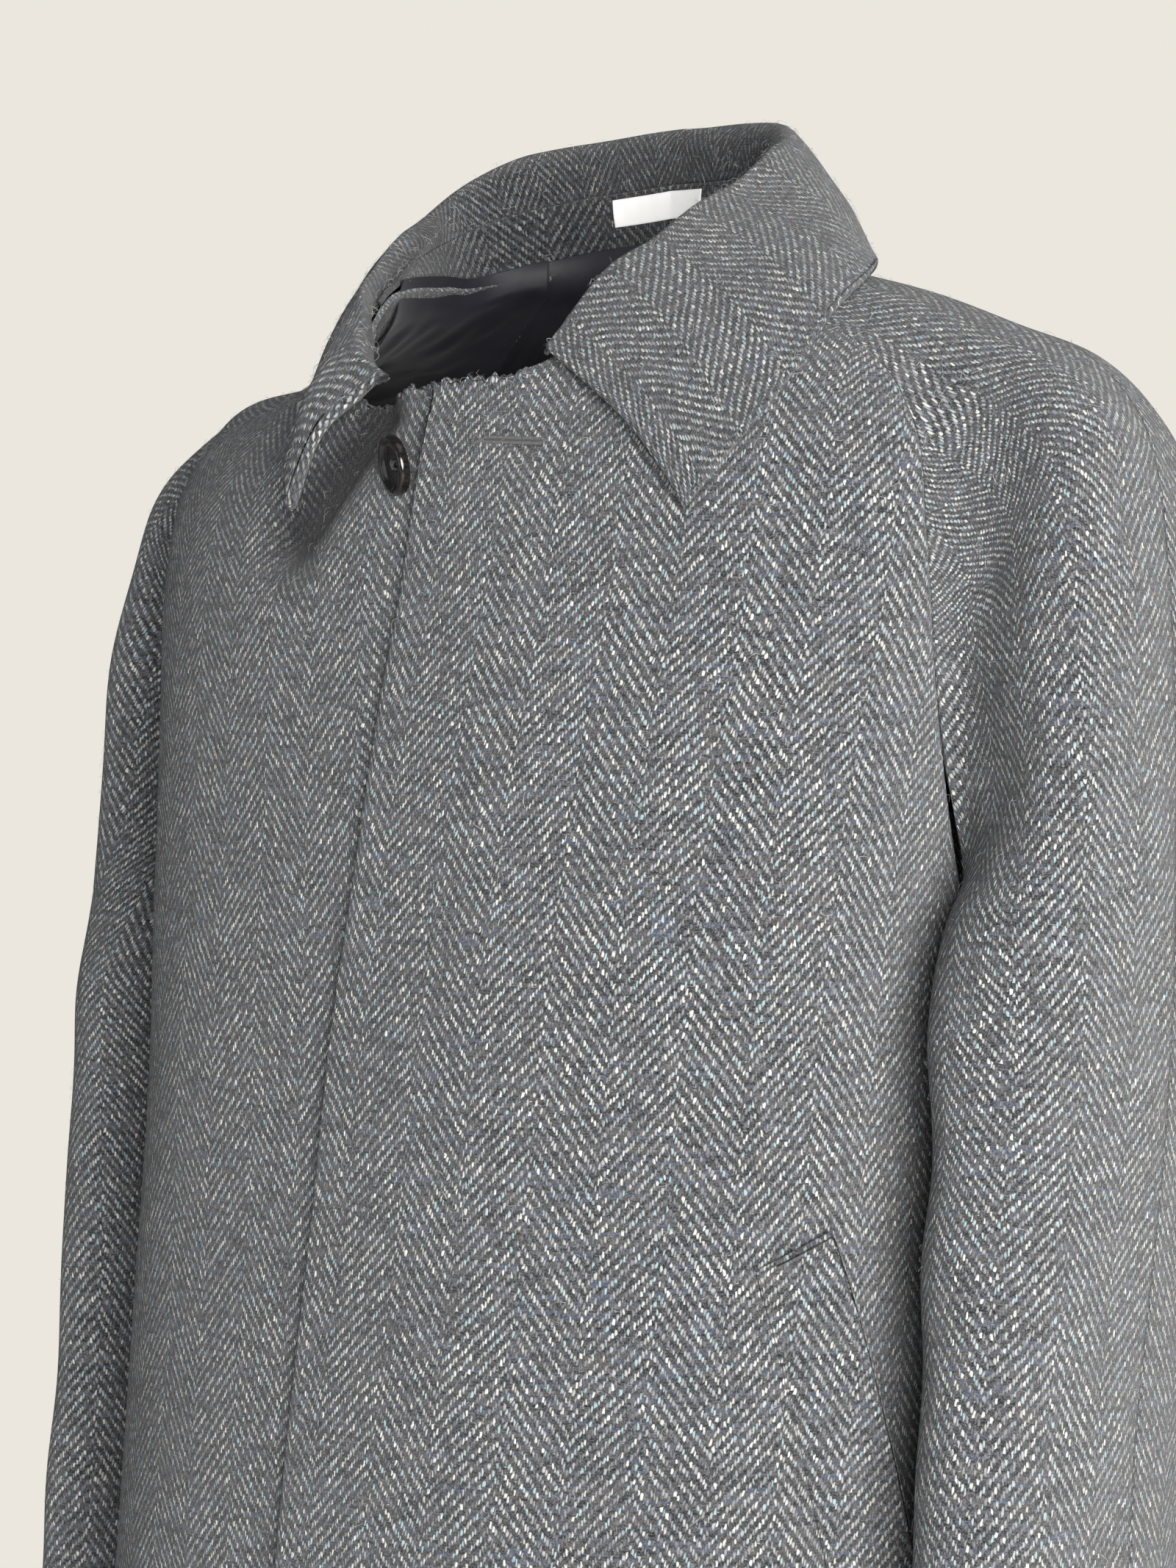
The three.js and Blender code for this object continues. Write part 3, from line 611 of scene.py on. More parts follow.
tweedLook = {
    "warp": 1.04, "weft": 1.26,          # yarn spacing, mm
    "column": 24,                        # warp yarns in a herringbone column
    "jitter": 0.56,                      # how unevenly the yarns lie, mm
    "ragged": 0.16,                      # how far a float starts early or late, in cycles
    "lumps": 0.85, "fuzz": 0.60,         # how far lumps and fuzz eat into a float
    # colours of the pale yarn: share, colour
    "pale": [(0.0, (0.050, 0.055, 0.065)), (0.18, (0.12, 0.128, 0.142)), (0.38, (0.25, 0.26, 0.27)),
             (0.56, (0.39, 0.395, 0.39)), (0.67, (0.27, 0.40, 0.43)), (0.77, (0.50, 0.49, 0.45)),
             (0.90, (0.68, 0.68, 0.65)), (1.0, (0.40, 0.58, 0.60))],
    # colours of the dark yarn
    "dark": [(0.0, (0.008, 0.009, 0.012)), (0.5, (0.022, 0.023, 0.028)), (0.75, (0.046, 0.041, 0.040)),
             (1.0, (0.038, 0.048, 0.078))],
}


# Herringbone twill: warp yarn k of a column shows over two wefts and hides under two, each yarn one weft
# later than its neighbour, and the order turns round from column to column
def tweedMaterial(name, look):
    n = Nodes(name)
    at, x, y = n.clothAt()
    wobble = n.noise(n.vector(n.times(x, 0.55), n.times(y, 0.22), 0.0), 1.0, 3.0, 0.6, "Color")
    split = n.add("ShaderNodeSeparateXYZ")
    n.tree.links.new(wobble, split.inputs[0])
    push = lambda base, part, far: n.plus(base, n.times(n.minus(part, 0.5), far))
    x = push(x, split.outputs[0], look["jitter"] * 4)
    y = push(y, split.outputs[1], look["jitter"] * 5)
    yarn = n.math("DIVIDE", x, look["warp"])
    yarnId = n.math("FLOOR", yarn)
    columnId = n.math("FLOOR", n.math("DIVIDE", yarnId, look["column"]))
    inColumn = n.minus(yarnId, n.times(columnId, look["column"]))
    odd = n.math("ABSOLUTE", n.math("MODULO", columnId, 2.0))
    back = n.minus(look["column"] + 1.0, inColumn)
    shift = n.plus(n.times(inColumn, n.minus(1.0, odd)), n.times(back, odd))
    phase = n.math("DIVIDE", n.plus(n.math("DIVIDE", y, look["weft"]), shift), 4.0)
    inCycle = n.math("FRACT", phase)
    # a bead is a half sine along the float times a half sine across the yarn
    floatId = n.math("FLOOR", phase)
    drawn = n.random(yarnId, floatId)
    plump = n.random(n.plus(yarnId, 57.0), n.plus(floatId, 13.0))
    late = n.times(n.minus(drawn, 0.5), look["ragged"])
    turn = n.times(n.plus(inCycle, late), 2 * math.pi)
    alongBead = n.math("MAXIMUM", n.math("SINE", turn), 0.0)
    acrossYarn = n.math("SINE", n.times(n.math("FRACT", yarn), math.pi))
    bead = n.times(n.math("POWER", alongBead, 0.6), n.math("POWER", acrossYarn, 0.6))
    bead = n.times(bead, n.plus(0.62, n.times(plump, 0.62)))
    weftId = n.math("FLOOR", n.math("DIVIDE", y, look["weft"]))
    weftRound = n.math("SINE", n.times(n.math("FRACT", n.math("DIVIDE", y, look["weft"])), math.pi))
    # colours: each float draws one, with slower changes along the yarn and over the cloth
    streak = n.noise(n.vector(n.times(yarnId, 7.3), n.times(y, 0.03), 0.0), 1.0, 2.0)
    cloud = n.noise(at, 38.0, 3.0, 0.6)
    tone = n.plus(n.times(drawn, 0.80),
                  n.plus(n.times(streak, 0.30), n.times(cloud, 0.20)))
    tone = n.minus(tone, 0.15)
    pale = n.ramp(tone, look["pale"])
    dark = n.ramp(n.random(weftId, n.math("FLOOR", n.math("DIVIDE", x, 9.0))), look["dark"])
    # fuzz blurs the edge between the yarns and throws short pale hairs over both
    fuzz = n.noise(at, 2600.0, 3.0, 0.7)
    lump = n.noise(at, 760.0, 3.0, 0.65)
    cover = n.plus(bead, n.times(n.minus(fuzz, 0.5), look["fuzz"]))
    cover = n.plus(cover, n.times(n.minus(lump, 0.5), look["lumps"]))
    cover = n.math("SMOOTH_MIN", n.math("MAXIMUM", n.times(n.minus(cover, 0.22), 1.7), 0.0), 1.0, 0.2)
    colour = n.blend(cover, dark, pale)
    hair = n.noise(at, 900.0, 4.0, 0.65)
    hairLine = n.minus(1.0, n.times(n.math("ABSOLUTE", n.minus(hair, 0.5)), 34.0))
    hairLine = n.times(n.math("MAXIMUM", hairLine, 0.0), 0.42)
    colour = n.blend(hairLine, colour, (0.40, 0.41, 0.41))
    # painted shade: the wool's colour runs toward near black where inShade is high
    n.put(n.shader.inputs["Base Color"], n.shaded(colour, (0.004, 0.004, 0.006)))
    n.shader.inputs["Roughness"].default_value = 0.95
    n.shader.inputs["Specular IOR Level"].default_value = 0.12
    n.shader.inputs["Sheen Weight"].default_value = 0.22
    n.shader.inputs["Sheen Roughness"].default_value = 0.5
    height = n.plus(n.times(bead, 0.75), n.times(weftRound, 0.18))
    height = n.plus(height, n.times(fuzz, 0.55))
    n.relief(height, 0.0009, 0.9)
    return n.material


liningLook = {"colour": (0.012, 0.012, 0.018), "pale": (0.045, 0.042, 0.060), "rough": 0.38}


# Satin: fine threads across a dark ground, glossy along them
def liningMaterial(look):
    n = Nodes("navySatin")
    at, x, y = n.clothAt()
    thread = n.math("SINE", n.times(x, 2 * math.pi / 0.28))
    cloud = n.noise(at, 26.0, 3.0)
    ground = n.ramp(cloud, [(0.3, look["colour"]), (0.8, look["pale"])])
    # painted shade: the satin's colour runs toward near black where inShade is high
    n.put(n.shader.inputs["Base Color"], n.shaded(ground, (0.001, 0.001, 0.003), 1.0))
    rough = n.plus(look["rough"], n.times(n.noise(at, 160.0, 2.0), 0.12))
    n.put(n.shader.inputs["Roughness"], rough)
    n.shader.inputs["Anisotropic"].default_value = 0.5
    n.shader.inputs["Specular IOR Level"].default_value = 0.25
    n.shader.inputs["Sheen Weight"].default_value = 0.1
    n.relief(n.plus(n.times(thread, 0.15), n.noise(at, 700.0, 2.0)), 0.00012, 0.5)
    return n.material


hornLook = {"dark": (0.0030, 0.0030, 0.0034), "streak": (0.014, 0.011, 0.010), "rough": 0.10}


# Horn: long soft streaks across a near-black ground, under a polish with fine scratches
def hornMaterial(look):
    n = Nodes("polishedHorn")
    place = n.add("ShaderNodeTexCoord").outputs["Object"]
    stretch = n.add("ShaderNodeMapping")
    stretch.inputs["Scale"].default_value = (140.0, 140.0, 900.0)
    stretch.inputs["Rotation"].default_value = (0.5, 0.7, 0.0)
    n.put(stretch.inputs["Vector"], place)
    grain = n.noise(stretch.outputs[0], 1.0, 5.0, 0.65)
    tones = [(0.42, look["dark"]), (0.62, look["streak"]), (0.8, look["dark"])]
    n.put(n.shader.inputs["Base Color"], n.ramp(grain, tones))
    scratch = n.noise(place, 4200.0, 2.0)
    n.put(n.shader.inputs["Roughness"], n.plus(look["rough"], n.times(scratch, 0.16)))
    n.shader.inputs["Coat Weight"].default_value = 0.35
    n.shader.inputs["Coat Roughness"].default_value = 0.12
    n.relief(grain, 0.00008, 0.5)
    return n.material


# Woven tape: ribs across, fine threads along
def tapeMaterial():
    n = Nodes("whiteTape")
    at, x, y = n.clothAt()
    rib = n.math("SINE", n.times(y, 2 * math.pi / 0.42))
    cross = n.math("SINE", n.times(x, 2 * math.pi / 0.55))
    weave = n.times(rib, cross)
    n.put(n.shader.inputs["Base Color"], n.ramp(n.plus(n.times(weave, 0.2), n.noise(at, 220.0)),
                                                [(0.2, (0.84, 0.835, 0.81)), (0.7, (0.95, 0.945, 0.93))]))
    n.shader.inputs["Roughness"].default_value = 0.55
    # a weak glow, painted light, keeps the tape bright inside the dark collar
    n.shader.inputs["Emission Color"].default_value = (1.0, 1.0, 0.97, 1)
    n.shader.inputs["Emission Strength"].default_value = 0.20
    n.shader.inputs["Sheen Weight"].default_value = 0.2
    n.relief(weave, 0.00012, 0.8)
    return n.material


# Sewing thread: plies wound round the cord, read from its own map (length, angle)
def threadMaterial(name, dark, pale):
    n = Nodes(name)
    at, x, y = n.clothAt()
    ply = n.math("SINE", n.plus(n.times(x, 2 * math.pi / 0.8), y))
    tone = n.plus(n.times(ply, 0.22), n.noise(at, 900.0))
    n.put(n.shader.inputs["Base Color"], n.ramp(tone, [(0.25, dark), (0.8, pale)]))
    n.shader.inputs["Roughness"].default_value = 0.7
    n.shader.inputs["Sheen Weight"].default_value = 0.25
    n.relief(ply, 0.0001, 0.7)
    return n.material


# Loose wool: each fibre keeps one colour, drawn by its own number in the map
def fibreMaterial():
    n = Nodes("looseWool")
    at, x, y = n.clothAt()
    n.put(n.shader.inputs["Base Color"], n.ramp(n.times(x, 0.001), [
        (0.0, (0.05, 0.052, 0.06)), (0.25, (0.16, 0.165, 0.175)), (0.5, (0.32, 0.33, 0.335)),
        (0.72, (0.50, 0.50, 0.48)), (0.86, (0.62, 0.61, 0.58)), (1.0, (0.36, 0.50, 0.54))]))
    n.shader.inputs["Roughness"].default_value = 0.8
    n.shader.inputs["Sheen Weight"].default_value = 0.3
    n.relief(n.noise(at, 3000.0), 0.00002, 0.4)
    return n.material


tweed = tweedMaterial("herringboneTweed", tweedLook)
satin = liningMaterial(liningLook)
horn = hornMaterial(hornLook)
tape = tapeMaterial()
darkThread = threadMaterial("darkThread", (0.012, 0.012, 0.014), (0.06, 0.06, 0.065))
holeThread = threadMaterial("holeThread", (0.030, 0.030, 0.031), (0.12, 0.118, 0.115))
whiteThread = threadMaterial("whiteThread", (0.62, 0.62, 0.60), (0.88, 0.88, 0.86))
looseWool = fibreMaterial()
print("materials made")


def finishPiece(obj, material, slotName, *nodes):
    obj.data.materials.append(material)
    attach(obj, "root")
    if nodes:
        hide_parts(*nodes)
    return obj


# Fronts and back
fronts = {
    "columns": 112, "rows": 215,
    "edgeWall": 1.4,          # extra thickness of the turned front edge
    "topCurl": 1.5,           # how far the free top edge rolls outward
    "seamSink": 0.55, "seamReach": 5.0,
    "waves": 0.55, "waveLength": 120.0,
}
grainOffset = {"left": 9.0, "right": 4.0, "back": 0.0}
clothGrids = {}


def makeFront(name, node, side, edge, lift):
    u, v = grid2(crowded(fronts["columns"], 0.35), crowded(fronts["rows"], 0.25))
    deg, z = frontPlace(side, edge, u, v)
    out = lift(deg, z) if lift else 0.0
    grid = onBody(deg, z, out)
    edgeDeg = degAtX(between(edge, z)[..., 0], z) * side
    uv = bodyCloth(deg, z, edgeDeg)
    grid = settle(grid * np.array([side, 1, 1]))
    turn = -side
    grid = trimmed(grid, ("u1", "v0"), coat["seamGap"])
    fromEdge, fromSeam = edgeDistance(grid, 1, 0), edgeDistance(grid, 1, 1)
    normal = surfaceNormals(grid, turn)
    move = sink(fromSeam, fronts["seamSink"], fronts["seamReach"])
    fade = ease(fromSeam / 30) * ease(fromEdge / 20)
    move = move + fade * unevenness(uv, 11 if side > 0 else 12, fronts["waves"], fronts["waveLength"])
    shade = 0.0
    if side < 0:
        # painted shadow: under the right leaf the cloth is painted dark, beside the real dip below
        shade = 0.98 * np.minimum(1.3 * leafDipAndShadow(grid), 1)
        move = move - coat["dip"] * leafDipAndShadow(grid) * ease(fromEdge / 12)
    grid = grid + normal * move[..., None]
    fromTop = edgeDistance(grid, 0, 0)
    free = 1 - ease((deg - 10) / 6)
    curl = fronts["topCurl"] * free * np.exp(-(fromTop / 7.0) ** 2)
    across = grid[..., 0]
    rough = np.sin(across * 0.55 + 1.0) + 0.7 * np.sin(across * 1.13) + 0.6 * np.sin(across * 2.1 + 2.0)
    grid = grid + normal * (curl * (0.8 + 0.25 * rough))[..., None]
    grid[..., 2] += curl * 0.42 * rough
    wall = coat["wall"] + fronts["edgeWall"] * np.exp(-(fromEdge / 9.0) ** 2) + 1.1 * curl
    uv = uv + np.array([grainOffset["left" if side > 0 else "right"], 0])
    shell = clothShell(name, grid, uv, wall, turn, ("u1", "v0"), shade=shade, openTop=deg[0] < 13)
    obj = finishPiece(shell, tweed, "tweed", node)
    clothGrids[name] = (grid, normal, uv)
    return obj


# The dip under the right leaf, and the shadow painted there, fade as exp(-(distance from its line / reach)^2)
def leafDipAndShadow(p):
    a, b = np.array(coat["dipAndShadowLine"][0]), np.array(coat["dipAndShadowLine"][1])
    at = p[..., [0, 2]]
    along = np.clip(np.sum((at - a) * (b - a), -1) / np.sum((b - a) ** 2), 0, 1)
    far = np.linalg.norm(at - a - along[..., None] * (b - a), axis=-1)
    return np.exp(-(far / coat["dipAndShadowReach"]) ** 2) * ease(along / 0.25 + 0.2)


makeFront("tweedFrontLeft", "front_left", 1, coat["leftEdge"], overlapLift)
makeFront("tweedFrontRight", "front_right", -1, coat["rightEdge"], None)

u, v = grid2(crowded(150, 0.3), crowded(220, 0.25))
deg, z = backPlace(u, v)
grid = trimmed(settle(onBody(deg, z)), ("u0", "u1", "v0"), coat["seamGap"])
uv = bodyCloth(deg, z, np.full_like(deg, 180.0))
normal = surfaceNormals(grid, -1)
seamFar = np.minimum(edgeDistance(grid, 1, 0), edgeDistance(grid, 1, 1))
move = sink(seamFar, fronts["seamSink"], fronts["seamReach"])
move = move + ease(seamFar / 30) * unevenness(uv, 13, 0.8, 150.0)
grid = grid + normal * move[..., None]
shell = clothShell("tweedBack", grid, uv, coat["wall"], -1, ("u0", "u1", "v0"))
backPiece = finishPiece(shell, tweed, "tweed", "back")
clothGrids["tweedBack"] = (grid, normal, uv)
print("fronts and back made")

# Sleeves
sleeveLook = {"columns": 64, "rows": 160, "seamSink": 0.55, "seamReach": 5.0, "waves": 0.9, "waveLength": 90.0}


# The flat pattern of a sleeve half: each step round the sleeve is split into a part along the arm,
# its share on the overarm's direction, and a part across, the rest of its length
def sleeveCloth(grid, vs, half):
    r = vs[:, 0] * 2
    line = between(sleeve["overarm"], r)
    fine = between(sleeve["overarm"], np.linspace(0, 2, 400))
    length = np.concatenate([[0], np.cumsum(np.linalg.norm(np.diff(fine, axis=0), axis=1))])
    along = np.interp(r, np.linspace(0, 2, 400), length)
    tangent = unit(np.gradient(line, axis=0))
    mirrored = grid * np.array([np.sign(grid[-1, 0, 0]), 1, 1])
    step = np.diff(mirrored, axis=1)
    forward = np.sum(step * tangent[:, None], -1)
    sideways = np.sqrt(np.maximum(np.sum(step ** 2, -1) - forward ** 2, 0.02))
    zero = np.zeros((grid.shape[0], 1))
    uu = np.concatenate([zero, np.cumsum(sideways, 1)], 1) * half
    vv = along[:, None] + np.concatenate([zero, np.cumsum(forward, 1)], 1)
    return np.stack([uu, -vv], -1)


def makeSleeve(sideName, side, halfName, half):
    u, v = grid2(crowded(sleeveLook["columns"], 0.4), crowded(sleeveLook["rows"], 0.2))
    grid = trimmed(sleevePoint(side, half, u, v), ("u0", "u1", "v0"), coat["seamGap"])
    turn = -side * half
    uv = sleeveCloth(grid, v, half)
    normal = surfaceNormals(grid, turn)
    fromTop, fromSeam = edgeDistance(grid, 1, 0), edgeDistance(grid, 1, 1)
    move = sink(fromSeam, sleeveLook["seamSink"], sleeveLook["seamReach"])
    waves = unevenness(uv, 21 + int(side + 2 * half), sleeveLook["waves"], sleeveLook["waveLength"])
    move = move + ease(fromSeam / 30) * ease(fromTop / 15) * waves
    grid = grid + normal * move[..., None]
    name = f"tweedSleeve{sideName.title()}{halfName.title()}"
    shell = clothShell(name, grid, uv, coat["wall"], turn, ("u0", "u1", "v0"))
    obj = finishPiece(shell, tweed, "tweed", f"sleeve_{sideName}_{halfName}")
    clothGrids[name] = (grid, normal, uv)


for sideName, side in (("left", 1), ("right", -1)):
    makeSleeve(sideName, side, "front", -1)
    makeSleeve(sideName, side, "back", 1)
print("sleeves made")

# Collar
collarLook = {"columns": 260, "rows": 52, "edgeWall": 1.6, "leafRope": 2.0, "proud": 7.0}


# Painted shade inside the collar: darkest at the far front, and little of it on the fall's outer face
def collarShade(u, w):
    return mix(0.95, 0.62, ease((u - 0.08) / 0.25)) * (1 - 0.85 * ease((w - 0.36) / 0.12))


def collarCloth(grid, mid):
    around = np.concatenate([[0], np.cumsum(np.linalg.norm(np.diff(grid[mid], axis=0), axis=-1))])
    around = np.broadcast_to(around - around[-1] / 2, grid.shape[:2])
    down = edgeDistance(grid, 0, 0)
    return np.stack([around, -down], -1)


standAlong = mix(collar["standFrom"], 1 - collar["standFrom"], np.linspace(0, 1, 170))
u, w = grid2(standAlong, crowded(14, 0.3) * collar["standTop"])
grid = trimmed(collarPoint(u, w), ("v0", "v1"), coat["seamGap"])
normal = surfaceNormals(grid, 1)
uv = collarCloth(grid, 0)
shell = clothShell("tweedCollarStand", grid, uv, coat["wall"], 1, ("v0", "v1"), shade=collarShade(u, w))
stand = finishPiece(shell, tweed, "tweed", "collar_stand")
clothGrids["tweedCollarStand"] = (grid, normal, uv)

u, v = grid2(crowded(collarLook["columns"], 0.15), crowded(collarLook["rows"], 0.25))
w = mix(fallFoot(u), 1, v)
grid = trimmed(collarPoint(u, w), ("v0",), coat["seamGap"])
normal = surfaceNormals(grid, 1)
uv = collarCloth(grid, collarLook["rows"] * 2 // 3) + np.array([5.0, 30.0])
edgeFar = np.minimum(np.minimum(edgeDistance(grid, 1, 0), edgeDistance(grid, 1, 1)), edgeDistance(grid, 0, 1))
rope = collarLook["edgeWall"] + collarLook["leafRope"] * ease((0.12 - u) / 0.08)
wall = coat["wall"] + rope * np.exp(-(edgeFar / 7.0) ** 2) * ease((v - 0.45) / 0.2)
proud = collarLook["proud"] * (1 - ease(u / 0.11)) * ease((w - 0.5) / 0.25)
grid = grid + np.array([0.45, -0.89, 0.0]) * proud[..., None]
grid = grid + normal * (unevenness(uv, 31, 0.35, 60.0) * ease(edgeFar / 14))[..., None]
shell = clothShell("tweedCollarFall", grid, uv, wall, 1, ("v0",), shade=collarShade(u, w))
fall = finishPiece(shell, tweed, "tweed", "collar_fall")
clothGrids["tweedCollarFall"] = (grid, normal, uv)
print("collar made")

# Linings
liningIn = coat["wall"] + 2.4 + 1.0


# Painted shade on the lining: darker downward and toward the far side
def liningShade(grid):
    return np.clip(0.25 + ease((-8 - grid[..., 2]) / 60) * 0.5 + ease((20 - grid[..., 0]) / 90) * 0.35, 0, 0.96)


# The lining starts just inside the neck seam and settles to its own depth a little below
def liningDepth(v, uv, seed):
    deep = mix(coat["wall"] + 1.2, liningIn, ease(v / 0.035))
    return deep - 1.7 * ease(v / 0.12) * np.clip(satinFolds(uv, seed, 0.55), -1, 1.2)


def satinFolds(uv, seed, size):
    squeezed = uv * np.array([1.0, 0.35])
    return unevenness(squeezed, seed, size, 26.0) + unevenness(uv, seed + 1, size * 0.4, 15.0)


u, v = grid2(np.linspace(0, 1, 120), np.linspace(0, 1, 60))
deg, z = backPlace(u, mix(0.0, 0.44, v))
outerGrid = settle(onBody(deg, z))
normal = surfaceNormals(outerGrid, -1)
uv = bodyCloth(deg, z, np.full_like(deg, 180.0))
grid = outerGrid - normal * liningDepth(v, uv, 41)[..., None]
grid[..., 2] += 6.5 * (1 - ease(v / 0.05))
shell = clothShell("satinLiningBack", grid, uv, 0.6, 1, shade=liningShade(grid))
liningBack = finishPiece(shell, satin, "lining", "lining_back")


def makeSleeveLining(sideName, side):
    u, v = grid2(np.linspace(0, 1, 120), np.linspace(0, 1, 60))
    half = np.where(u < 0.5, -1, 1)
    across = np.clip(np.abs(1 - 2 * u), 0.002, 1.0)
    down = mix(0.0, 0.24, v)
    front, rear = sleevePoint(side, -1, across, down), sleevePoint(side, 1, across, down)
    face = np.where((half < 0)[..., None], front, rear)
    normal = surfaceNormals(face, side)
    uv = np.stack([edgeDistance(face, 1, 0), -edgeDistance(face, 0, 0)], -1)
    grid = face + normal * liningDepth(v, uv, 45)[..., None]
    grid[..., 2] += 6.5 * (1 - ease(v / 0.05))
    shell = clothShell(f"satinLiningSleeve{sideName.title()}", grid, uv, 0.6, side, shade=liningShade(grid))
    obj = finishPiece(shell, satin, "lining", f"lining_sleeve_{sideName}")


for sideName, side in (("left", 1), ("right", -1)):
    makeSleeveLining(sideName, side)
print("linings made")

# Pocket welts
welt = {
    # share of length, sewn edge degrees, z, free edge degrees, z
    "rows": [[0, 55, -379, 66, -366], [0.17, 59, -410, 70, -396], [0.57, 66, -484, 77, -472],
             [1, 71.5, -562, 82, -548]],
    "stand": 5.0,
}
for sideName, side in (("left", 1), ("right", -1)):
    u, v = grid2(crowded(26, 0.4), crowded(90, 0.3))
    sewnDeg, sewnZ, freeDeg, freeZ = np.moveaxis(between(welt["rows"], v), -1, 0)
    wall = mix(0.9, coat["wall"], ease(u / 0.3))
    stand = wall + 0.3 + u * u * (0.6 + welt["stand"] * (0.35 + 0.65 * np.sin(math.pi * v)))
    deg, z = mix(sewnDeg, freeDeg, u), mix(sewnZ, freeZ, u)
    grid = onBody(deg, z, stand)
    edge = coat["leftEdge"] if side > 0 else coat["rightEdge"]
    uv = bodyCloth(deg, z, degAtX(between(edge, z)[..., 0], z) * side)
    uv = uv + np.array([grainOffset[sideName], 0])
    grid = grid * np.array([side, 1, 1])
    shell = clothShell(f"tweedWelt{sideName.title()}", grid, uv, wall, -side, puff=0.8)
    piece = finishPiece(shell, tweed, "tweed", f"pocket_welt_{sideName}")
print("welts made")

# Label and its loose thread
label = {"along": (0.436, 0.543), "up": (0.095, 0.195), "thick": 0.7, "off": 1.1}
u, v = grid2(np.linspace(0, 1, 60), np.linspace(0, 1, 26))
cu, cw = mix(*label["along"], u), mix(*label["up"], v)
step = 1e-3
face = collarPoint(cu, cw)
du = collarPoint(cu + step, cw) - collarPoint(cu - step, cw)
dv = collarPoint(cu, cw + step) - collarPoint(cu, cw - step)
out = unit(np.cross(du, dv))
curl = 0.5 * (1 - ease(np.minimum(u, 1 - u) / 0.12)) * np.sin(math.pi * v)
grid = face + out * (label["off"] + curl)[..., None]
uv = np.stack([edgeDistance(grid, 1, 0), edgeDistance(grid, 0, 0)], -1)
labelPiece = finishPiece(clothShell("tapeLabel", grid, uv, label["thick"], 1), tape, "label", "label")

t = np.linspace(0, 1, 24)[:, None]
corner, off = grid[0, -3], out[0, -3]
side3, down3 = unit(grid[0, -1] - grid[0, -8]), unit(grid[0, -3] - grid[6, -3])
if down3[2] > 0:
    down3 = -down3
path = (corner + off * (0.6 + 2.2 * np.sin(math.pi * t * 0.8)) + down3 * 4.5 * t
        - side3 * (4.2 * t + 1.2 * np.sin(2.5 * t)))
finishPiece(tube("labelThreadEnd", path, 0.16, 8), whiteThread, "label")
print("label made")

# Button
button = {"radius": 11.6, "high": 4.6, "faces": (-0.45, -0.86, -0.2), "at": (-0.22, -92), "shank": 6.0}


def frameOn(side, deg, z, out):
    mirror = np.array([side, 1, 1])
    at = onBody(deg, z, out) * mirror
    across = unit((onBody(deg + 1, z, out) - onBody(deg - 1, z, out)) * mirror)
    up = unit((onBody(deg, z + 2, out) - onBody(deg, z - 2, out)) * mirror)
    return at, across, unit(np.cross(across, up)) * side


spot, spotAcross, spotNormal = frameOn(-1, *button["at"], 0.0)
axis = unit(np.array(button["faces"]))
sideY = unit(np.cross(axis, [1.0, 0, 0]))
sideX = np.cross(sideY, axis)
middle = spot + spotNormal * button["shank"]
rim, tall = button["radius"], button["high"]
# profile of the button from its back round the rim to the dish: radius, height
profile = [(0.01, 0.0), (rim * 0.5, 0.0), (rim - 1.8, 0.05), (rim - 0.8, 0.4), (rim - 0.2, 1.1), (rim, 2.1),
           (rim - 0.05, 3.5), (rim - 0.5, tall - 0.3), (rim - 1.2, tall), (rim - 1.9, tall - 0.15),
           (rim - 2.6, tall - 0.8), (rim - 3.5, tall - 1.5), (rim - 4.6, tall - 1.85), (rim * 0.3, tall - 2.05),
           (0.01, tall - 2.1)]
share = np.concatenate([[0], np.cumsum(np.linalg.norm(np.diff(np.array(profile), axis=0), axis=1))])
share /= share[-1]
steps, spokes = 150, 160
line = between(np.column_stack([share, profile]), np.linspace(0, 1, steps))
angle = np.linspace(0, 2 * math.pi, spokes, endpoint=False)
radius, height = (line[:, k][:, None] * np.ones(spokes) for k in (0, 1))
bx, by = radius * np.cos(angle), radius * np.sin(angle)
upper = (np.linspace(0, 1, steps) > 0.6)[:, None]
hole = np.zeros_like(radius)
for hx, hy in ((1.7, 1.7), (-1.7, 1.7), (-1.7, -1.7), (1.7, -1.7)):
    hole = np.maximum(hole, 1 - ease((np.hypot(bx - hx, by - hy) - 0.62) / 0.42))
height = height - np.where(upper, hole * 1.7, 0)
body = middle + bx[..., None] * sideX + by[..., None] * sideY + height[..., None] * axis
poles = np.vstack([body.reshape(-1, 3), body[0].mean(0), body[-1].mean(0)])
uv = np.vstack([np.stack([bx, by], -1).reshape(-1, 2), [[0, 0], [0, 0]]])
buttonPiece = makeObject("hornButton", poles, cappedFaces(steps, spokes), uv * mm)
fixOutward(buttonPiece)
finishPiece(buttonPiece, horn, "horn", "button")

dish = middle + axis * (tall - 2.0)
for k, (hx, hy, gx, gy) in enumerate(((1.7, 1.7, -1.7, -1.7), (-1.7, 1.7, 1.7, -1.7))):
    t = np.linspace(0, 1, 30)[:, None]
    a, b = hx * sideX + hy * sideY, gx * sideX + gy * sideY
    arch = (0.55 + 0.35 * k) * np.sin(math.pi * t) ** 0.5 - 0.9 * (1 - np.sin(math.pi * t) ** 0.35)
    path = dish + a * (1 - t) + b * t + axis * arch
    finishPiece(tube(f"buttonStitch{k + 1}", path, 0.42, 10), darkThread, "thread")

t = np.linspace(0, 1, 40)[:, None]
path = spot + spotNormal * (0.4 + (button["shank"] - 0.9) * t)
wound = 1.65 + 0.3 * np.sin(np.linspace(0, 1, 40) * 2 * math.pi * 7) - 0.2 * np.linspace(0, 1, 40)
finishPiece(tube("buttonShankThread", path, wound, 16), darkThread, "thread", "button_shank")
print("button made")

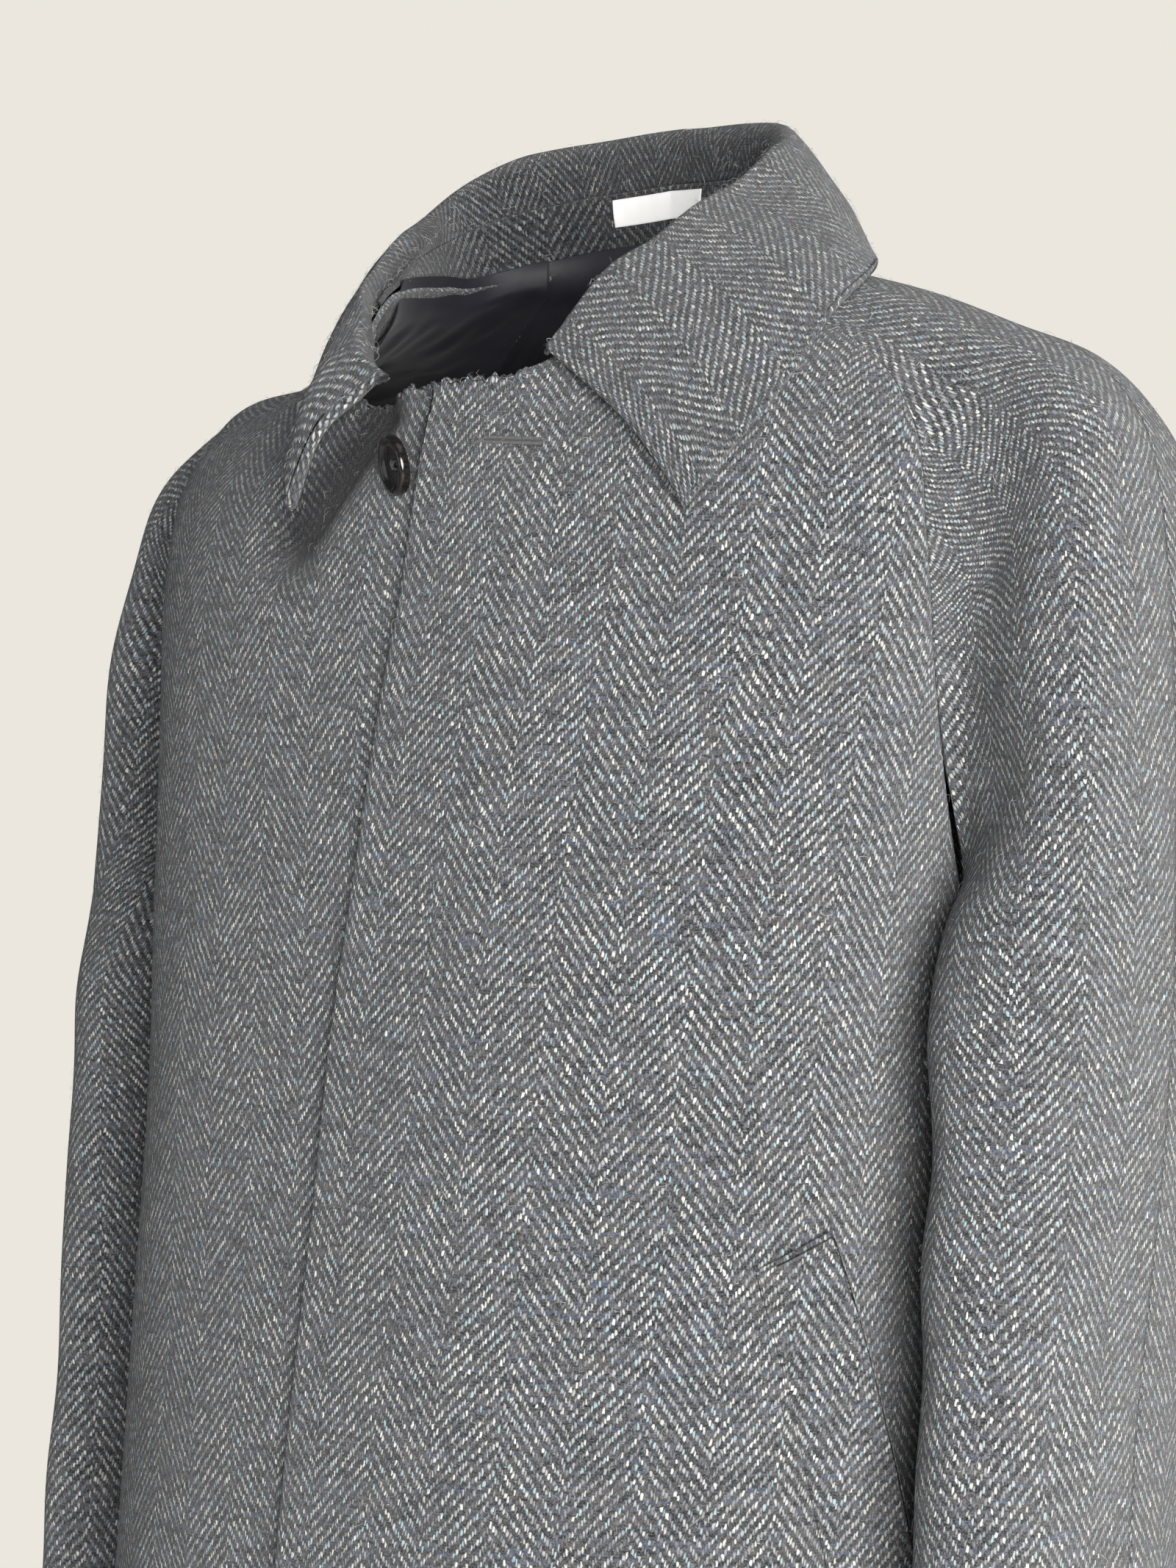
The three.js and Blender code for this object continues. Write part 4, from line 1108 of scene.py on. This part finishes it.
# Buttonhole
hole = {"ends": ((7.4, -82.8), (15.0, -85.3)), "eye": 1.7, "lip": 1.15, "pitch": 0.62, "rise": 0.55}
holeA, _, holeNormal = frameOn(1, *hole["ends"][0], coat["overlapLift"])
holeB, _, _ = frameOn(1, *hole["ends"][1], coat["overlapLift"])
lineX = unit(holeB - holeA)
lineY = np.cross(holeNormal, lineX)
longHole = np.linalg.norm(holeB - holeA)


# The keyhole's outline: an eye at one end, two near-straight sides and a narrow far end; t goes round once
def holeOutline(t):
    a = 2 * math.pi * t
    x = longHole / 2 - np.cos(a) * (longHole / 2 + 0.9)
    half = 0.42 + (hole["eye"] - 0.2) * bump(x, 0.0, 1.7)
    y = np.sin(a) / np.maximum(np.abs(np.sin(a)), 0.35) * half
    y = np.where(np.abs(np.sin(a)) < 0.35, np.sin(a) / 0.35 * half, y)
    return x, y


t = np.linspace(0, 1, 420, endpoint=False)
x, y = holeOutline(t)
ring = np.stack([x, y], -1)
ringOut = unit(np.stack([np.gradient(y), -np.gradient(x)], -1))
ringOut *= np.sign(np.sum(ringOut * (ring - np.array([longHole / 2, 0])), -1, keepdims=True) + 1e-6)
length = np.concatenate([[0], np.cumsum(np.linalg.norm(np.diff(ring, axis=0), axis=1))])
stitch = 0.5 + 0.5 * np.cos(2 * math.pi * length / hole["pitch"])
c = np.linspace(0, 2 * math.pi, 12, endpoint=False)
wide, high = hole["lip"] / 2, hole["rise"] * (0.75 + 0.25 * stitch)
reach = wide * (1 + np.cos(c)) * (0.9 + 0.12 * stitch[:, None])
px = ring[:, None, :] + ringOut[:, None, :] * reach[..., None]
pz = high[:, None] * np.sin(c) + 0.12
lips = holeA + px[..., :1] * lineX + px[..., 1:] * lineY + pz[..., None] * holeNormal
uv = np.stack([np.repeat(length, len(c)), np.tile(c, len(t))], -1)
half = len(t) // 2
upperSide, lowerSide = ring[1:half], ring[:half:-1]
slit = np.stack([upperSide, lowerSide], 1)
slitAt = holeA + slit[..., :1] * lineX + slit[..., 1:] * lineY + 0.16 * holeNormal
slitPiece = makeObject("buttonholeSlit", slitAt.reshape(-1, 3), gridFaces(len(slit), 2, 1),
                       slit.reshape(-1, 2) * mm)
finishPiece(slitPiece, darkThread, "thread")
lipPiece = makeObject("buttonholeStitches", lips.reshape(-1, 3),
                      roundFaces(len(t), len(c), True), uv * mm)
fixOutward(lipPiece)
finishPiece(lipPiece, holeThread, "thread")
print("buttonhole made")

# Loose fibres
fibres = {
    "long": (1.6, 5.6), "thick": 0.06, "lift": (0.2, 1.5), "steps": 6,
    # mesh: piece and how many fibres
    "looseFibresBody": {"tweedFrontLeft": 1900, "tweedFrontRight": 850, "tweedBack": 460},
    "looseFibresTop": {"tweedSleeveLeftFront": 980, "tweedSleeveLeftBack": 320, "tweedSleeveRightFront": 590,
                       "tweedCollarFall": 1240, "tweedCollarStand": 130},
}


# A fibre leaves the cloth, arches over it and comes back: along + curl * sin, height lift * sin.
# Each is a three-sided tube that is open at its ends
def makeFibres(name, look):
    points, faces, uvs, start = [], [], [], 0
    draw = np.random.default_rng(5)
    for piece, count in look[name].items():
        grid, normal, _ = clothGrids[piece]
        i = draw.integers(1, grid.shape[0] - 1, count)
        j = draw.integers(1, grid.shape[1] - 1, count)
        root, out = grid[i, j], normal[i, j]
        across = unit(grid[i, np.minimum(j + 1, grid.shape[1] - 1)] - grid[i, j - 1])
        other = np.cross(out, across)
        angle = draw.uniform(0, 2 * math.pi, count)[:, None]
        along = np.cos(angle) * across + np.sin(angle) * other
        bend = -np.sin(angle) * across + np.cos(angle) * other
        long = draw.uniform(*look["long"], count)[:, None, None]
        lift = draw.uniform(*look["lift"], count)[:, None, None]
        curl = draw.uniform(-2.0, 2.0, count)[:, None, None]
        t = np.linspace(0, 1, look["steps"])[None, :, None]
        path = (root[:, None] + along[:, None] * long * (t + 0.12 * np.sin(curl * 4 * t))
                + bend[:, None] * curl * np.sin(math.pi * t * 0.9)
                + out[:, None] * (lift * np.sin(math.pi * t) + 0.05))
        tangent = unit(np.gradient(path, axis=1))
        x = unit(np.cross(tangent, out[:, None]))
        y = np.cross(tangent, x)
        a = np.array([0, 2.1, 4.2])
        thin = look["thick"] * (1 - 0.5 * t)[..., None]
        spoke = np.cos(a)[:, None] * x[:, :, None] + np.sin(a)[:, None] * y[:, :, None]
        ring = path[:, :, None] + thin * spoke
        block = ring.reshape(-1, 3)
        f, s, k = np.meshgrid(np.arange(count), np.arange(look["steps"] - 1), np.arange(3), indexing="ij")
        base = start + f * look["steps"] * 3 + s * 3
        n = (k + 1) % 3
        faces.append(np.stack([base + k, base + n, base + 3 + n, base + 3 + k], -1).reshape(-1, 4))
        points.append(block)
        colour = np.repeat(draw.uniform(0, 1, count), look["steps"] * 3)
        uvs.append(np.stack([colour, np.zeros(len(block))], -1))
        start += len(block)
    return makeObject(name, np.vstack(points), np.vstack(faces), np.vstack(uvs))


for name in ("looseFibresBody", "looseFibresTop"):
    finishPiece(makeFibres(name, fibres), looseWool, "tweed")
print("fibres made")

# Floor, light, camera
bpy.ops.mesh.primitive_circle_add(vertices=96, radius=3.2, fill_type="NGON", location=(0, 0, view["floorZ"]))
floor = bpy.context.object
floor.name = "studioFloor"
paint = Nodes("paleFloor")
at = paint.add("ShaderNodeTexCoord").outputs["Object"]
floorTones = [(0.3, (0.74, 0.72, 0.67)), (0.7, (0.78, 0.755, 0.70))]
paint.put(paint.shader.inputs["Base Color"], paint.ramp(paint.noise(at, 3.0), floorTones))
paint.shader.inputs["Roughness"].default_value = 0.9
floor.data.materials.append(paint.material)

world = bpy.data.worlds.new("studio")
bpy.context.scene.world = world
world.use_nodes = True
tree = world.node_tree
tree.nodes.clear()
seen = tree.nodes.new("ShaderNodeBackground")
seen.inputs["Color"].default_value = (*view["backdrop"], 1)
fill = tree.nodes.new("ShaderNodeBackground")
fill.inputs["Color"].default_value = (0.95, 0.97, 1.0, 1)
fill.inputs["Strength"].default_value = 0.09
path = tree.nodes.new("ShaderNodeLightPath")
choose = tree.nodes.new("ShaderNodeMixShader")
tree.links.new(path.outputs["Is Camera Ray"], choose.inputs[0])
tree.links.new(fill.outputs[0], choose.inputs[1])
tree.links.new(seen.outputs[0], choose.inputs[2])
tree.links.new(choose.outputs[0], tree.nodes.new("ShaderNodeOutputWorld").inputs[0])

facing = math.radians(39)
toward = np.array([math.sin(facing), -math.cos(facing), 0])
rightward = np.array([math.cos(facing), math.sin(facing), 0])
lights = {
    # name: right of the camera's line, toward it, up, size, watts, colour
    "keySoft": (0.45, 2.05, 0.05, 1.3, 97.0, (1.0, 0.985, 0.97)),
    "topSoft": (0.3, 0.7, 1.5, 1.0, 2.0, (1.0, 1.0, 1.0)),
    "farFill": (-1.6, 0.7, 0.0, 1.4, 5.0, (0.92, 0.95, 1.0)),
    "backRim": (0.4, -1.6, 0.9, 1.2, 12.0, (1.0, 1.0, 1.0)),
}
aim = Vector((0.0, 0.0, -0.25))
for name, (right, near, up, size, watts, colour) in lights.items():
    data = bpy.data.lights.new(name, "AREA")
    data.shape = "DISK"
    data.size, data.energy, data.color = size, watts, colour
    lamp = bpy.data.objects.new(name, data)
    spotAt = toward * near + rightward * right
    lamp.location = (spotAt[0], spotAt[1], up - 0.25)
    lamp.rotation_euler = (aim - lamp.location).to_track_quat("-Z", "Y").to_euler()
    bpy.context.scene.collection.objects.link(lamp)

cameraData = bpy.data.cameras.new("photoCamera")
cameraData.lens = view["focal"] * 36.0 / view["imageLong"]
cameraData.clip_start, cameraData.clip_end = 0.05, 50.0
camera = bpy.data.objects.new("photoCamera", cameraData)
camera.location = [k * mm for k in view["eye"]]
camera.rotation_euler = (math.pi / 2, 0.0, math.radians(view["azimuth"]))
bpy.context.scene.collection.objects.link(camera)
bpy.context.scene.camera = camera
bpy.context.scene.view_settings.view_transform = "Standard"
print("studio set")
